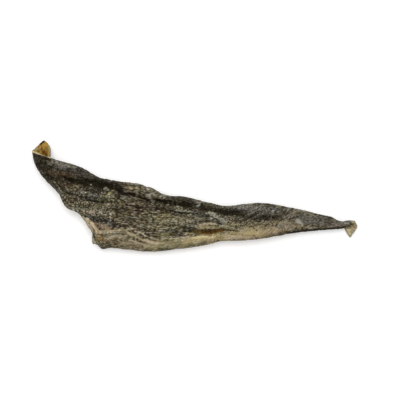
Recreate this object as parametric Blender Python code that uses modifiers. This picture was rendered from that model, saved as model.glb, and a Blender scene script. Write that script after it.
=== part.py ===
"""Freeze-dried haddock fillet: one thin strip of dried fish with its skin on.

The strip is a single sheet. Its skin faces up and out, and both long edges have curled under
while it dried. It starts at an open, rolled tip, widens at an oblique cut end and narrows to a
rolled tail that spreads into a small fan. All lengths below are in millimetres. X runs along the
strip towards the tail, Y across it and Z up, and the strip rests on Z = 0.
"""

from dataclasses import dataclass

import bmesh
import bpy
import numpy as np

NAME = "haddock_fillet"
MM = 0.001
QUARTER_TURN = np.pi / 2

# Driving dimensions: the sheet's thickness, its share left at the rims and in the tail, its grid
THICKNESS = 2.0
RIM_SHARE = 0.55
RIM_WIDTH = 2.5
TAIL_SHARE = ((85, 1.0), (103, 0.72), (112, 0.6))
ROWS = 74
COLUMNS = 38

# Outline from above, tip to tail. A point of the low edge faces the same point of the high edge.
LOW_EDGE = (
    (-114.1, 31.3), (-111.6, 21.5), (-104.6, 11.2), (-96.2, 2.4), (-90.6, -7.7), (-80.8, -13.1),
    (-74.6, -21.9), (-71.8, -27.2), (-72.0, -32.4), (-68.6, -34.2), (-65.4, -37.0), (-60.0, -36.4),
    (-52.5, -37.1), (-31.5, -39.0), (-9.1, -37.0), (6.3, -34.7), (18.9, -31.9), (35.0, -31.3),
    (47.6, -29.9), (63.0, -27.2), (77.0, -25.1), (88.9, -24.1), (97.3, -23.5), (102.2, -23.3),
    (107.2, -21.6), (110.9, -20.2),
)
HIGH_EDGE = (
    (-101.1, 26.4), (-93.8, 24.2), (-85.4, 22.0), (-77.0, 18.5), (-69.3, 13.8), (-61.6, 11.4),
    (-53.9, 10.3), (-51.1, 9.8), (-48.0, 9.3), (-45.6, 8.9), (-43.0, 8.5), (-39.2, 7.9),
    (-35.0, 6.5), (-21.0, 0.7), (-4.9, -1.2), (8.4, -4.8), (21.0, -7.2), (35.0, -5.8),
    (46.9, -5.1), (60.9, -7.1), (75.6, -10.2), (87.5, -13.2), (95.9, -14.9), (102.2, -17.7),
    (107.8, -17.2), (111.5, -17.7),
)

# How each long edge curls, as pairs of a place on the strip's middle line and a value there:
# the roll's radius in plan, its top and its underside above the ground (below 0 it is pressed
# flat), the angle in degrees that it turns through, and the straight leg after the turn.
LOW_SIDE = {
    "radius": ((-108, 6.9), (-95, 6.0), (-80, 4.5), (-64, 4.0), (-54, 5.0), (7, 5.6), (35, 6.4),
               (47, 6.4), (62, 5.6), (76, 5.0), (88, 4.5), (97, 4.1), (102, 2.7), (107, 1.2),
               (111, 0.6)),
    "top": ((-108, 14.2), (-95, 13.4), (-80, 11.2), (-64, 10.2), (-54, 10.6), (7, 11.2),
            (35, 13.0), (47, 13.0), (62, 11.4), (76, 9.8), (88, 8.8), (97, 8.6), (102, 6.8),
            (107, 5.8), (111, 5.4)),
    "lift": ((-108, 1.0), (-60, 0.6), (-40, -0.4), (-15, -0.4), (10, 0.8), (45, 0.9), (65, 0.0),
             (78, -0.4), (90, -0.3), (98, 0.6), (111, 1.6)),
    "turn": ((-108, 92), (-98, 93), (-86, 75), (-78, 40), (-66, 25), (-60.5, 35), (-57.5, 90),
             (-54, 165), (-48, 205), (-26, 215), (35, 203), (62, 190), (76, 176), (97, 165),
             (102, 158), (105, 90), (107, 45), (111, 25)),
    "leg": ((-108, 0.2), (-60, 0.5), (-54, 2.0), (-45, 4.0), (20, 3.0), (50, 2.0), (76, 1.4),
            (97, 0.6), (102, 0.3), (111, 0.3)),
}
HIGH_SIDE = {
    "radius": ((-108, 6.9), (-95, 6.2), (-80, 5.0), (-64, 3.8), (-26, 3.8), (20, 3.8), (35, 5.6),
               (47, 6.4), (62, 5.8), (76, 5.0), (88, 4.6), (97, 4.1), (102, 2.7), (107, 2.0),
               (111, 1.5)),
    "top": ((-108, 14.2), (-95, 13.6), (-80, 12.6), (-64, 11.6), (-26, 11.2), (20, 12.0),
            (35, 13.2), (47, 13.2), (62, 11.6), (76, 9.8), (88, 8.8), (97, 8.6), (102, 6.8),
            (107, 5.6), (111, 5.0)),
    "lift": ((-108, 0.8), (-92, -0.2), (-80, -0.4), (-66, -0.4), (-45, 0.6), (10, 1.2), (45, 0.8),
             (78, -0.3), (90, -0.3), (98, 0.6), (111, 1.6)),
    "turn": ((-108, 262), (-98, 228), (-80, 215), (35, 203), (62, 190), (76, 176), (97, 168),
             (102, 165), (107, 178), (111, 182)),
    "leg": ((-108, 0.0), (-102, 0.6), (-90, 3.0), (20, 3.0), (50, 2.0), (76, 1.4), (97, 0.6),
            (102, 0.5), (104.5, 2.5), (107.5, 7.1), (111, 10.1)),
}
SAG = ((-108, 0.0), (-90, 1.2), (-60, 2.0), (0, 1.6), (25, 0.6), (45, 0.0), (111, 0.0))

# Places of the rows, by the share of all the rows
ROW_PLACES = ((0.0, -107.6), (0.22, -64.0), (0.38, -50.0), (0.80, 88.0), (1.0, 111.2))

# The back wall of the open tip reaches past the front rim, by the angle round the roll. The rows
# behind it, over this length, spread out to fill it.
TIP_LIP = ((0, 0.0), (60, 0.2), (75, 1.5), (90, 4.9), (115, 7.5), (140, 9.6), (165, 10.4),
           (190, 7.5), (215, 4.2), (240, 1.5), (262, 0.6))
TIP_LENGTH = 22.0
# The fan of the tail bulges past its straight end, by the share of the way round and across it.
FAN_BULGE = ((0.0, 0.0), (0.3, 0.6), (0.5, 1.8), (0.62, 3.1), (1.0, 0.0))
FAN_LENGTH = 6.0


@dataclass(frozen=True)
class Crease:
    """A valley in the skin: its route from above, its depth (a ridge if negative) and half width."""

    route: tuple
    depth: float
    half_width: float


CREASES = (
    Crease(((-100, 12), (-86, 10.7), (-66, 7.6), (-54, 4.6), (-46, 0.6), (-26, -3.7), (0, -6.8),
            (22, -11.0), (40, -12.4)), 2.3, 2.2),
    Crease(((-78, -2.0), (-64, -4.2), (-52, -4.0), (-37, -8.4), (-20, -10.6), (-6, -12.8)), 0.9, 1.8),
    Crease(((-78, -14.2), (-66, -16.8), (-52, -19.0)), 0.9, 1.8),
    Crease(((-70, -24.2), (-54, -24.4), (-38, -25.2), (-20, -26.2), (-8, -24.6), (2, -25.0),
            (14, -24.2), (26, -24.8)), 1.5, 2.0),
    Crease(((8, -12.2), (15, -15.0), (22, -18.4)), -0.7, 1.6),
)
CREASE_FADE = 8.0

# Wrinkles: height, length, number across and seed, in a fan between two straight lines
WRINKLE_HEIGHT = 0.35
WRINKLE_LENGTH = 26.0
WRINKLES_ACROSS = 9.0
WRINKLE_SEED = 5
FAN_LOW_LINE = ((-115, -52), (115, -26))
FAN_HIGH_LINE = ((-115, 34), (115, -14))
NOISE_CELLS = 64


@dataclass
class Side:
    """One curled edge along the strip: arrays read from its profiles."""

    radius: np.ndarray
    top: np.ndarray
    lift: np.ndarray
    turn: np.ndarray
    leg: np.ndarray

    @property
    def half_height(self):
        """Half the roll's height."""
        return (self.top - self.lift) / 2

    @property
    def turn_length(self):
        """Length of the turned part, taken on the mean radius of its ellipse."""
        return self.turn * (self.radius + self.half_height) / 2

    @property
    def overhang(self):
        """How far the roll stands out past the flat plate in plan."""
        flat_leg = self.leg * np.clip(np.cos(self.turn), 0, 1)
        return self.radius * np.sin(np.minimum(self.turn, QUARTER_TURN)) + flat_leg


def smooth_curve(places, values, at):
    """Cubic curve through the values, read at the given places."""
    places = np.asarray(places, float)
    values = np.asarray(values, float)
    slopes = np.gradient(values, places, axis=0)
    k = np.clip(np.searchsorted(places, at, side="right") - 1, 0, len(places) - 2)
    span = places[k + 1] - places[k]
    f = np.clip((at - places[k]) / span, 0.0, 1.0)
    if values.ndim == 2:
        span = span[..., None]
        f = f[..., None]
    start = (2 * f**3 - 3 * f**2 + 1) * values[k] + (f**3 - 2 * f**2 + f) * span * slopes[k]
    end = (3 * f**2 - 2 * f**3) * values[k + 1] + (f**3 - f**2) * span * slopes[k + 1]
    return start + end


def profile(pairs, at):
    """Value of a profile: midway between its straight lines and the cubic curve through it."""
    places, values = zip(*pairs)
    return (np.interp(at, places, values) + smooth_curve(places, values, at)) / 2


def side_at(profiles, place):
    """The curled edge with the given profiles, at the given places."""
    values = {name: profile(pairs, place) for name, pairs in profiles.items()}
    values["turn"] = np.radians(values["turn"])
    return Side(**values)


def ease(t):
    """0 to 1 with level ends."""
    t = np.clip(t, 0.0, 1.0)
    return t * t * (3 - 2 * t)


def soft_noise(p, q, seed):
    """Seeded value noise between -1 and 1 on a unit lattice."""
    table = np.random.default_rng(seed).uniform(-1, 1, (NOISE_CELLS, NOISE_CELLS))
    i, j = np.floor(p).astype(int), np.floor(q).astype(int)
    fp, fq = ease(p - i), ease(q - j)
    i, j = i % NOISE_CELLS, j % NOISE_CELLS
    next_i, next_j = (i + 1) % NOISE_CELLS, (j + 1) % NOISE_CELLS
    near = table[i, j] * (1 - fq) + table[i, next_j] * fq
    far = table[next_i, j] * (1 - fq) + table[next_i, next_j] * fq
    return near * (1 - fp) + far * fp


def crease_depth(x, y):
    """Depth of all the creases at a place seen from above."""
    depth = np.zeros_like(x)
    for crease in CREASES:
        xs, ys = zip(*crease.route)
        off = (y - smooth_curve(xs, ys, x)) / crease.half_width
        ends = ease((x - xs[0]) / CREASE_FADE + 0.5) * ease((xs[-1] - x) / CREASE_FADE + 0.5)
        depth += crease.depth * ends * np.exp(-off * off)
    return depth


def wrinkles(x, y):
    """Long shallow wrinkles that fan out from the tail towards the cut end."""
    low = np.interp(x, *zip(*FAN_LOW_LINE))
    high = np.interp(x, *zip(*FAN_HIGH_LINE))
    across = (y - low) / (high - low)
    fold = soft_noise(x / WRINKLE_LENGTH, across * WRINKLES_ACROSS, WRINKLE_SEED)
    return WRINKLE_HEIGHT * (1 - 2 * np.abs(fold))


def curl(arc, plate, side):
    """Section of one curled edge: half the flat plate, an elliptic turn downwards, a straight leg.

    Gives the reach outwards and the drop at an arc length from the section's middle, with the
    angle turned through and the length gone along the leg.
    """
    angle = np.clip((arc - plate) / side.turn_length, 0, 1) * side.turn
    on_leg = np.clip(arc - plate - side.turn_length, 0, side.leg)
    reach = np.clip(arc, 0, plate) + side.radius * np.sin(angle) + on_leg * np.cos(side.turn)
    drop = side.half_height * (1 - np.cos(angle)) + on_leg * np.sin(side.turn)
    return reach, drop, angle, on_leg


def tip_lip(v):
    """How far the sheet reaches past the front rim of the tip, which is all roll, at v across it."""
    full_turn = HIGH_SIDE["turn"][0][1]
    return np.where(v > 0, profile(TIP_LIP, np.clip(v, 0, 1) * full_turn), 0.0)


def sheet_points(u, v):
    """Skin side of the strip, for u from 0 (tip) to 1 (tail) and v from -1 (low) to 1 (high)."""
    place = profile(ROW_PLACES, u)
    tip, end = place.min(), place.max()
    lip = tip_lip(v) * (1 - np.clip((place - tip) / TIP_LENGTH, 0, 1)) ** 2
    past_rim = np.maximum(tip - place + lip, 0.0)
    place = np.maximum(place - lip, tip)

    middles = [(low[0] + high[0]) / 2 for low, high in zip(LOW_EDGE, HIGH_EDGE)]
    low_edge = smooth_curve(middles, LOW_EDGE, place)
    high_edge = smooth_curve(middles, HIGH_EDGE, place)
    width = np.linalg.norm(high_edge - low_edge, axis=-1)
    low, high = side_at(LOW_SIDE, place), side_at(HIGH_SIDE, place)
    plate = np.maximum(width - low.overhang - high.overhang, 0.0) / 2

    low_curl = curl(-v * (plate + low.turn_length + low.leg), plate, low)
    high_curl = curl(v * (plate + high.turn_length + high.leg), plate, high)
    on_high = v > 0
    reach, drop, angle, on_leg = (np.where(on_high, h, l) for h, l in zip(high_curl, low_curl))
    over = low.overhang + plate + np.where(on_high, reach, -reach)
    plan = low_edge + (high_edge - low_edge) * (over / width)[..., None]

    share = np.clip((over - low.overhang) / np.maximum(2 * plate, 1.0), 0, 1)
    top = low.top + (high.top - low.top) * np.where(angle > 0, on_high, ease(share))
    relief = wrinkles(plan[..., 0], plan[..., 1]) - crease_depth(plan[..., 0], plan[..., 1])
    relief -= profile(SAG, place) * np.sin(np.pi * share)
    height = top - drop + relief * np.clip(np.cos(angle), 0, 1) ** 2

    round_fan = (angle / high.turn + on_leg / np.maximum(high.leg, 1.0)) / 2
    bulge = np.where(on_high, profile(FAN_BULGE, round_fan), 0.0)
    plan[..., 0] += bulge * np.clip((place - end) / FAN_LENGTH + 1, 0, 1) ** 2
    plan[..., 1] += past_rim
    return np.dstack((plan, np.maximum(height, 0.0)))


def from_rim(points):
    """Distance of each point from the nearer end of its grid line, along the first axis."""
    steps = np.linalg.norm(np.diff(points, axis=0, prepend=points[:1]), axis=-1)
    run = np.cumsum(steps, axis=0)
    return np.minimum(run, run[-1] - run)


def thickness_shares(points):
    """Share of the full thickness at each point: thin at the rims and in the tail."""
    gap = np.minimum(from_rim(points), from_rim(points.transpose(1, 0, 2)).T)
    shares = RIM_SHARE + (1 - RIM_SHARE) * ease(gap / RIM_WIDTH)
    return shares * np.interp(points[..., 0], *zip(*TAIL_SHARE))


def skin_material():
    """Dull grey-brown dried skin."""
    material = bpy.data.materials.new("dried_fish_skin")
    material.use_nodes = True
    shader = material.node_tree.nodes["Principled BSDF"]
    shader.inputs["Base Color"].default_value = (0.125, 0.108, 0.073, 1.0)
    shader.inputs["Roughness"].default_value = 0.72
    shader.inputs["Metallic"].default_value = 0.0
    return material


def make_fillet(collection):
    """The strip: a flat grid moved onto the curled sheet, then given its thickness."""
    grid = bmesh.new()
    bmesh.ops.create_grid(grid, x_segments=ROWS, y_segments=COLUMNS, size=1.0)
    flat = np.array([vertex.co[:] for vertex in grid.verts])
    u, v = (flat[:, 0] + 1) / 2, flat[:, 1]
    order = np.lexsort((v, u))
    shape = (ROWS + 1, COLUMNS + 1)
    points = sheet_points(u[order].reshape(shape), v[order].reshape(shape))
    shares = thickness_shares(points).ravel()
    grid.verts.ensure_lookup_table()
    for index, point in zip(order, points.reshape(-1, 3)):
        grid.verts[index].co = point * MM
    bmesh.ops.triangulate(grid, faces=grid.faces, quad_method="SHORT_EDGE")

    mesh = bpy.data.meshes.new("fillet")
    grid.to_mesh(mesh)
    grid.free()
    fillet = bpy.data.objects.new("fillet", mesh)
    collection.objects.link(fillet)
    fillet.data.materials.append(skin_material())

    group = fillet.vertex_groups.new(name="thickness")
    for index, share in zip(order, shares):
        group.add([int(index)], float(share), "REPLACE")
    sheet = fillet.modifiers.new("thickness", "SOLIDIFY")
    sheet.thickness = THICKNESS * MM
    sheet.offset = -1.0
    sheet.vertex_group = group.name
    sheet.use_quality_normals = True


def main():
    """Clear the scene and build the fillet."""
    for old in list(bpy.data.objects):
        bpy.data.objects.remove(old, do_unlink=True)
    collection = bpy.data.collections.new(NAME)
    bpy.context.scene.collection.children.link(collection)
    make_fillet(collection)


main()
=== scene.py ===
"""Freeze-dried haddock fillet, dressed for the picture.

One thin strip of dried fish lies skin side up on its two curled edges. The fine piece made here
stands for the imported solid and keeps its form: the same curled sheet, with the wrinkles, scales,
creases, spots and dried flesh that are too small for the solid. Lengths in the tables are in
millimetres, and MM turns them into metres. X runs along the strip towards the tail, Y across it
and Z up, and the strip rests on Z = 0.
"""

import logging
from dataclasses import dataclass
from enum import Enum, IntEnum

import bpy
import numpy as np
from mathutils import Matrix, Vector


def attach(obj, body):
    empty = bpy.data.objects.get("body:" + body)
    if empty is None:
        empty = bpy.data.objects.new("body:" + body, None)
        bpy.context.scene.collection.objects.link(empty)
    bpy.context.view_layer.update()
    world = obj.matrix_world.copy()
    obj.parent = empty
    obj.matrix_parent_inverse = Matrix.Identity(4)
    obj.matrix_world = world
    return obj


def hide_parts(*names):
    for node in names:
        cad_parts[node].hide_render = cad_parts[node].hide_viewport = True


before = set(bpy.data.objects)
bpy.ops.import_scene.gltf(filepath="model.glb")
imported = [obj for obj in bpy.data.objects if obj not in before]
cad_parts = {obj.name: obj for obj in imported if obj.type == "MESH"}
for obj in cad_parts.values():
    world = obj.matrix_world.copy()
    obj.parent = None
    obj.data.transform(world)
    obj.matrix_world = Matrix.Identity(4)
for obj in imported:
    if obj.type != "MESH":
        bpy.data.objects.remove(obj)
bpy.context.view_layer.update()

LOG = logging.getLogger("haddock_fillet")
MM = 0.001
QUARTER_TURN = np.pi / 2
NODE = "fillet"
BODY = "root"
NOISE_CELLS = 256
SCREEN_STEPS = 255
WHITE = (1.0, 1.0, 1.0, 1.0)
TONE_HUE = (0.95, 0.97, 1.08)
TINY = 1e-9

Array = np.ndarray
Size = tuple[float, float]
Triple = tuple[float, float, float]
Pairs = tuple[Size, ...]
Sockets = dict[str | int, object]


class Tint(Enum):
    """Colours of the dried skin and flesh, as red, green and blue on the screen, 0 to 255."""

    INK = (27, 22, 9)
    SOOT = (42, 32, 16)
    BARK = (66, 54, 36)
    COAL = (46, 41, 32)
    SLATE = (60, 54, 42)
    SMOKE = (95, 90, 80)
    ASHEN = (94, 90, 82)
    STEEL = (122, 124, 117)
    SAGE = (119, 114, 100)
    ASH = (138, 134, 119)
    BONE = (178, 173, 158)
    CREAM = (205, 190, 150)
    STRAW = (168, 150, 110)
    TAN = (147, 133, 100)
    DUN = (122, 110, 87)
    DRAB = (101, 93, 72)
    KHAKI = (132, 123, 92)
    OLIVE = (86, 80, 54)
    MOSS = (108, 105, 76)
    LICHEN = (150, 142, 102)
    BRAN = (114, 101, 76)
    LINEN = (152, 141, 115)
    FAWN = (146, 127, 106)
    PARCHMENT = (172, 157, 132)
    UMBER = (80, 72, 53)
    MAUVE = (98, 85, 76)
    ROSE = (176, 156, 136)
    AMBER = (138, 100, 46)
    OCHRE = (156, 128, 66)
    HONEY = (158, 126, 62)
    CARAMEL = (110, 72, 26)
    RUST = (80, 58, 22)

    @property
    def screen(self) -> Array:
        """The colour with each part between 0 and 1, still as on the screen."""
        return np.array(self.value) / SCREEN_STEPS


class Noise(IntEnum):
    """The noises that are drawn from the skin's seed, each by its step from it."""

    STRAY_ALONG = 1
    STRAY_ACROSS = 2
    WANDER_ALONG = 3
    WANDER_ACROSS = 4
    FOLD = 5
    RIDGE = 6
    SCALE = 7
    SPECK = 8
    CLOUD = 9
    RIM = 10
    GAP = 11
    LONG_GAP = 12
    CURL = 13
    ROSE = 14
    YELLOW = 15


def smooth_curve(places: Array, values: Array, at: Array) -> Array:
    """Cubic curve through given values: on each span, Hermite's cubic with slopes by differences.

    Args:
        places: rising places of the values.
        values: one value, or one row of values, for each place.
        at: places to read; beyond the ends the end value holds.

    Returns:
        The values there, in the shape of at, with one more axis for rows.
    """
    places = np.asarray(places, float)
    values = np.asarray(values, float)
    slopes = np.gradient(values, places, axis=0)
    k = np.clip(np.searchsorted(places, at, side="right") - 1, 0, len(places) - 2)
    span = places[k + 1] - places[k]
    f = np.clip((at - places[k]) / span, 0.0, 1.0)
    if values.ndim == 2:
        span = span[..., None]
        f = f[..., None]
    start = (2 * f**3 - 3 * f**2 + 1) * values[k] + (f**3 - 2 * f**2 + f) * span * slopes[k]
    end = (3 * f**2 - 2 * f**3) * values[k + 1] + (f**3 - f**2) * span * slopes[k + 1]
    return start + end


def profile(pairs: Pairs, at: Array) -> Array:
    """Value of a profile: midway between its straight lines and the cubic curve through it."""
    places, values = zip(*pairs)
    return (np.interp(at, places, values) + smooth_curve(places, values, at)) / 2


def ease(t: Array) -> Array:
    """0 to 1 with level ends: three squares less two cubes."""
    t = np.clip(t, 0.0, 1.0)
    return t * t * (3 - 2 * t)


def unit(vectors: Array, least: float = TINY) -> Array:
    """Vectors divided by their own length, or by the least length where they are shorter."""
    return vectors / np.maximum(np.linalg.norm(vectors, axis=-1, keepdims=True), least)


def soft_noise(p: Array, q: Array, seed: int, cells: int = NOISE_CELLS) -> Array:
    """Seeded value noise between -1 and 1: random corner values of a unit lattice, eased between.

    Args:
        p: first lattice coordinate.
        q: second lattice coordinate.
        seed: seed of the corner values.
        cells: size of the table of corner values, after which the noise repeats.

    Returns:
        The noise, in the shape of p.
    """
    table = np.random.default_rng(seed).uniform(-1, 1, (cells, cells))
    i, j = np.floor(p).astype(int), np.floor(q).astype(int)
    fp, fq = ease(p - i), ease(q - j)
    i, j = i % cells, j % cells
    next_i, next_j = (i + 1) % cells, (j + 1) % cells
    near = table[i, j] * (1 - fq) + table[i, next_j] * fq
    far = table[next_i, j] * (1 - fq) + table[next_i, next_j] * fq
    return near * (1 - fp) + far * fp


def scale_cells(p: Array, q: Array, seed: int, jitter: float) -> tuple[Array, Array]:
    """Cells round the points of a shaken unit lattice: each place belongs to the nearest point.

    Args:
        p: first lattice coordinate.
        q: second lattice coordinate.
        seed: seed of the shaking and of the cells' values.
        jitter: how far a point may move, as a share of the lattice step.

    Returns:
        The distance to the nearest point, and that point's own random value between -1 and 1.
    """
    rng = np.random.default_rng(seed)
    shift = rng.uniform(-jitter, jitter, (NOISE_CELLS, NOISE_CELLS, 2))
    value = rng.uniform(-1, 1, (NOISE_CELLS, NOISE_CELLS))
    i, j = np.floor(p).astype(int), np.floor(q).astype(int)
    nearest = np.full(p.shape, np.inf)
    own = np.zeros(p.shape)
    for di in (-1, 0, 1):
        for dj in (-1, 0, 1):
            ci, cj = (i + di) % NOISE_CELLS, (j + dj) % NOISE_CELLS
            dp = p - (i + di + 0.5 + shift[ci, cj, 0])
            dq = q - (j + dj + 0.5 + shift[ci, cj, 1])
            gap = np.hypot(dp, dq)
            closer = gap < nearest
            nearest = np.where(closer, gap, nearest)
            own = np.where(closer, value[ci, cj], own)
    return nearest, own


@dataclass(frozen=True)
class Crease:
    """A valley in the skin that the solid has too, or a ridge where its depth is negative."""

    route: Pairs
    depth: float
    half_width: float
    fade: float = 8.0

    def depth_at(self, x: Array, y: Array) -> Array:
        """Depth at a place seen from above: a bell across the route, which fades at its ends.

        Args:
            x: places along the strip.
            y: places across it.

        Returns:
            The depth at each place.
        """
        xs, ys = zip(*self.route)
        off = (y - smooth_curve(xs, ys, x)) / self.half_width
        ends = ease((x - xs[0]) / self.fade + 0.5) * ease((xs[-1] - x) / self.fade + 0.5)
        return self.depth * ends * np.exp(-off * off)


@dataclass(frozen=True)
class Fan:
    """Directions of the wrinkles: a fan between two straight lines that narrows to the tail."""

    low_line: Pairs = ((-115, -52), (115, -26))
    high_line: Pairs = ((-115, 34), (115, -14))

    def across(self, x: Array, y: Array) -> Array:
        """Place across the fan, 0 on its low line and 1 on its high line."""
        low, high = (np.interp(x, *zip(*line)) for line in (self.low_line, self.high_line))
        return (y - low) / (high - low)


@dataclass
class EdgeSection:
    """One curled edge read at many places along the strip."""

    radius: Array
    top: Array
    lift: Array
    turn: Array
    leg: Array

    @property
    def half_height(self) -> Array:
        """Half the roll's height."""
        return (self.top - self.lift) / 2

    @property
    def turn_length(self) -> Array:
        """Length of the turned part, taken on the mean radius of its ellipse."""
        return self.turn * (self.radius + self.half_height) / 2

    @property
    def overhang(self) -> Array:
        """How far the roll stands out past the flat plate in plan."""
        flat_leg = self.leg * np.clip(np.cos(self.turn), 0, 1)
        return self.radius * np.sin(np.minimum(self.turn, QUARTER_TURN)) + flat_leg

    def curl(self, arc: Array, plate: Array) -> tuple[Array, Array, Array, Array]:
        """Section of the edge: half the flat plate, an elliptic turn downwards, a straight leg.

        Args:
            arc: arc length from the middle of the section.
            plate: half the width of the flat plate.

        Returns:
            The reach outwards, the drop, the angle turned through and the length gone on the leg.
        """
        angle = np.clip((arc - plate) / self.turn_length, 0, 1) * self.turn
        on_leg = np.clip(arc - plate - self.turn_length, 0, self.leg)
        reach = np.clip(arc, 0, plate) + self.radius * np.sin(angle) + on_leg * np.cos(self.turn)
        drop = self.half_height * (1 - np.cos(angle)) + on_leg * np.sin(self.turn)
        return reach, drop, angle, on_leg


@dataclass(frozen=True)
class CurledEdge:
    """How a long edge curls, as pairs of a place on the strip's middle line and a value there.

    The values are the roll's radius in plan, its top and its underside above the ground (below 0
    it is pressed flat), the angle in degrees that it turns through, and the leg after the turn.
    """

    radius: Pairs
    top: Pairs
    lift: Pairs
    turn: Pairs
    leg: Pairs

    def at(self, place: Array) -> EdgeSection:
        """The edge at the given places along the strip."""
        return EdgeSection(
            radius=profile(self.radius, place),
            top=profile(self.top, place),
            lift=profile(self.lift, place),
            turn=np.radians(profile(self.turn, place)),
            leg=profile(self.leg, place),
        )


LOW_CURL = CurledEdge(
    radius=((-108, 6.9), (-95, 6.0), (-80, 4.5), (-64, 4.0), (-54, 5.0), (7, 5.6), (35, 6.4),
            (47, 6.4), (62, 5.6), (76, 5.0), (88, 4.5), (97, 4.1), (102, 2.7), (107, 1.2),
            (111, 0.6)),
    top=((-108, 14.2), (-95, 13.4), (-80, 11.2), (-64, 10.2), (-54, 10.6), (7, 11.2),
         (35, 13.0), (47, 13.0), (62, 11.4), (76, 9.8), (88, 8.8), (97, 8.6), (102, 6.8),
         (107, 5.8), (111, 5.4)),
    lift=((-108, 1.0), (-60, 0.6), (-40, -0.4), (-15, -0.4), (10, 0.8), (45, 0.9), (65, 0.0),
          (78, -0.4), (90, -0.3), (98, 0.6), (111, 1.6)),
    turn=((-108, 92), (-98, 93), (-86, 75), (-78, 40), (-66, 25), (-60.5, 35), (-57.5, 90),
          (-54, 165), (-48, 205), (-26, 215), (35, 203), (62, 190), (76, 176), (97, 165),
          (102, 158), (105, 90), (107, 45), (111, 25)),
    leg=((-108, 0.2), (-60, 0.5), (-54, 2.0), (-45, 4.0), (20, 3.0), (50, 2.0), (76, 1.4),
         (97, 0.6), (102, 0.3), (111, 0.3)),
)
HIGH_CURL = CurledEdge(
    radius=((-108, 6.9), (-95, 6.2), (-80, 5.0), (-64, 3.8), (-26, 3.8), (20, 3.8), (35, 5.6),
            (47, 6.4), (62, 5.8), (76, 5.0), (88, 4.6), (97, 4.1), (102, 2.7), (107, 2.0),
            (111, 1.5)),
    top=((-108, 14.2), (-95, 13.6), (-80, 12.6), (-64, 11.6), (-26, 11.2), (20, 12.0),
         (35, 13.2), (47, 13.2), (62, 11.6), (76, 9.8), (88, 8.8), (97, 8.6), (102, 6.8),
         (107, 5.6), (111, 5.0)),
    lift=((-108, 0.8), (-92, -0.2), (-80, -0.4), (-66, -0.4), (-45, 0.6), (10, 1.2), (45, 0.8),
          (78, -0.3), (90, -0.3), (98, 0.6), (111, 1.6)),
    turn=((-108, 262), (-98, 228), (-80, 215), (35, 203), (62, 190), (76, 176), (97, 168),
          (102, 165), (107, 178), (111, 182)),
    leg=((-108, 0.0), (-102, 0.6), (-90, 3.0), (20, 3.0), (50, 2.0), (76, 1.4), (97, 0.6),
         (102, 0.5), (104.5, 2.5), (107.5, 7.1), (111, 10.1)),
)


@dataclass
class SheetSample:
    """The skin side of the sheet on a grid, with what the dressing needs to know of each point.

    The arrays hold the points, their places on the unrolled sheet and their angle round a roll.
    """

    points: Array
    unrolled: Array
    angle: Array
    top_slope: float = 2.0
    top_level: float = 1.6
    push_from: float = 0.5
    push_gain: float = 16.0
    push_limit: float = 6.0
    least_slant: float = 0.3

    @property
    def halved(self) -> "SheetSample":
        """Every second point of the sample, each way."""
        return SheetSample(self.points[::2, ::2], self.unrolled[::2, ::2], self.angle[::2, ::2])

    @property
    def flat(self) -> tuple[Array, Array]:
        """Places along and across the unrolled sheet."""
        return self.unrolled[..., 0], self.unrolled[..., 1]

    @property
    def normals(self) -> Array:
        """Unit normals out of the skin: the cross product of the grid's two directions."""
        return unit(np.cross(np.gradient(self.points, axis=0), np.gradient(self.points, axis=1)))

    @property
    def top_side(self) -> Array:
        """1 where the skin faces up or sideways, 0 where it has turned well under."""
        return ease(np.cos(self.angle) * self.top_slope + self.top_level)

    @property
    def unfolded(self) -> tuple[Array, Array]:
        """Plan coordinates, pushed inwards where the skin turns down.

        A mark that ends at the rim of the plan goes on round the roll by this.

        Returns:
            The coordinates along and across the strip.
        """
        past = np.maximum(self.push_from - np.cos(self.angle), 0)
        push = np.minimum(self.push_gain * past**2, self.push_limit)
        plan = self.points[..., :2] - push[..., None] * unit(self.normals[..., :2], self.least_slant)
        return plan[..., 0], plan[..., 1]


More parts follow.
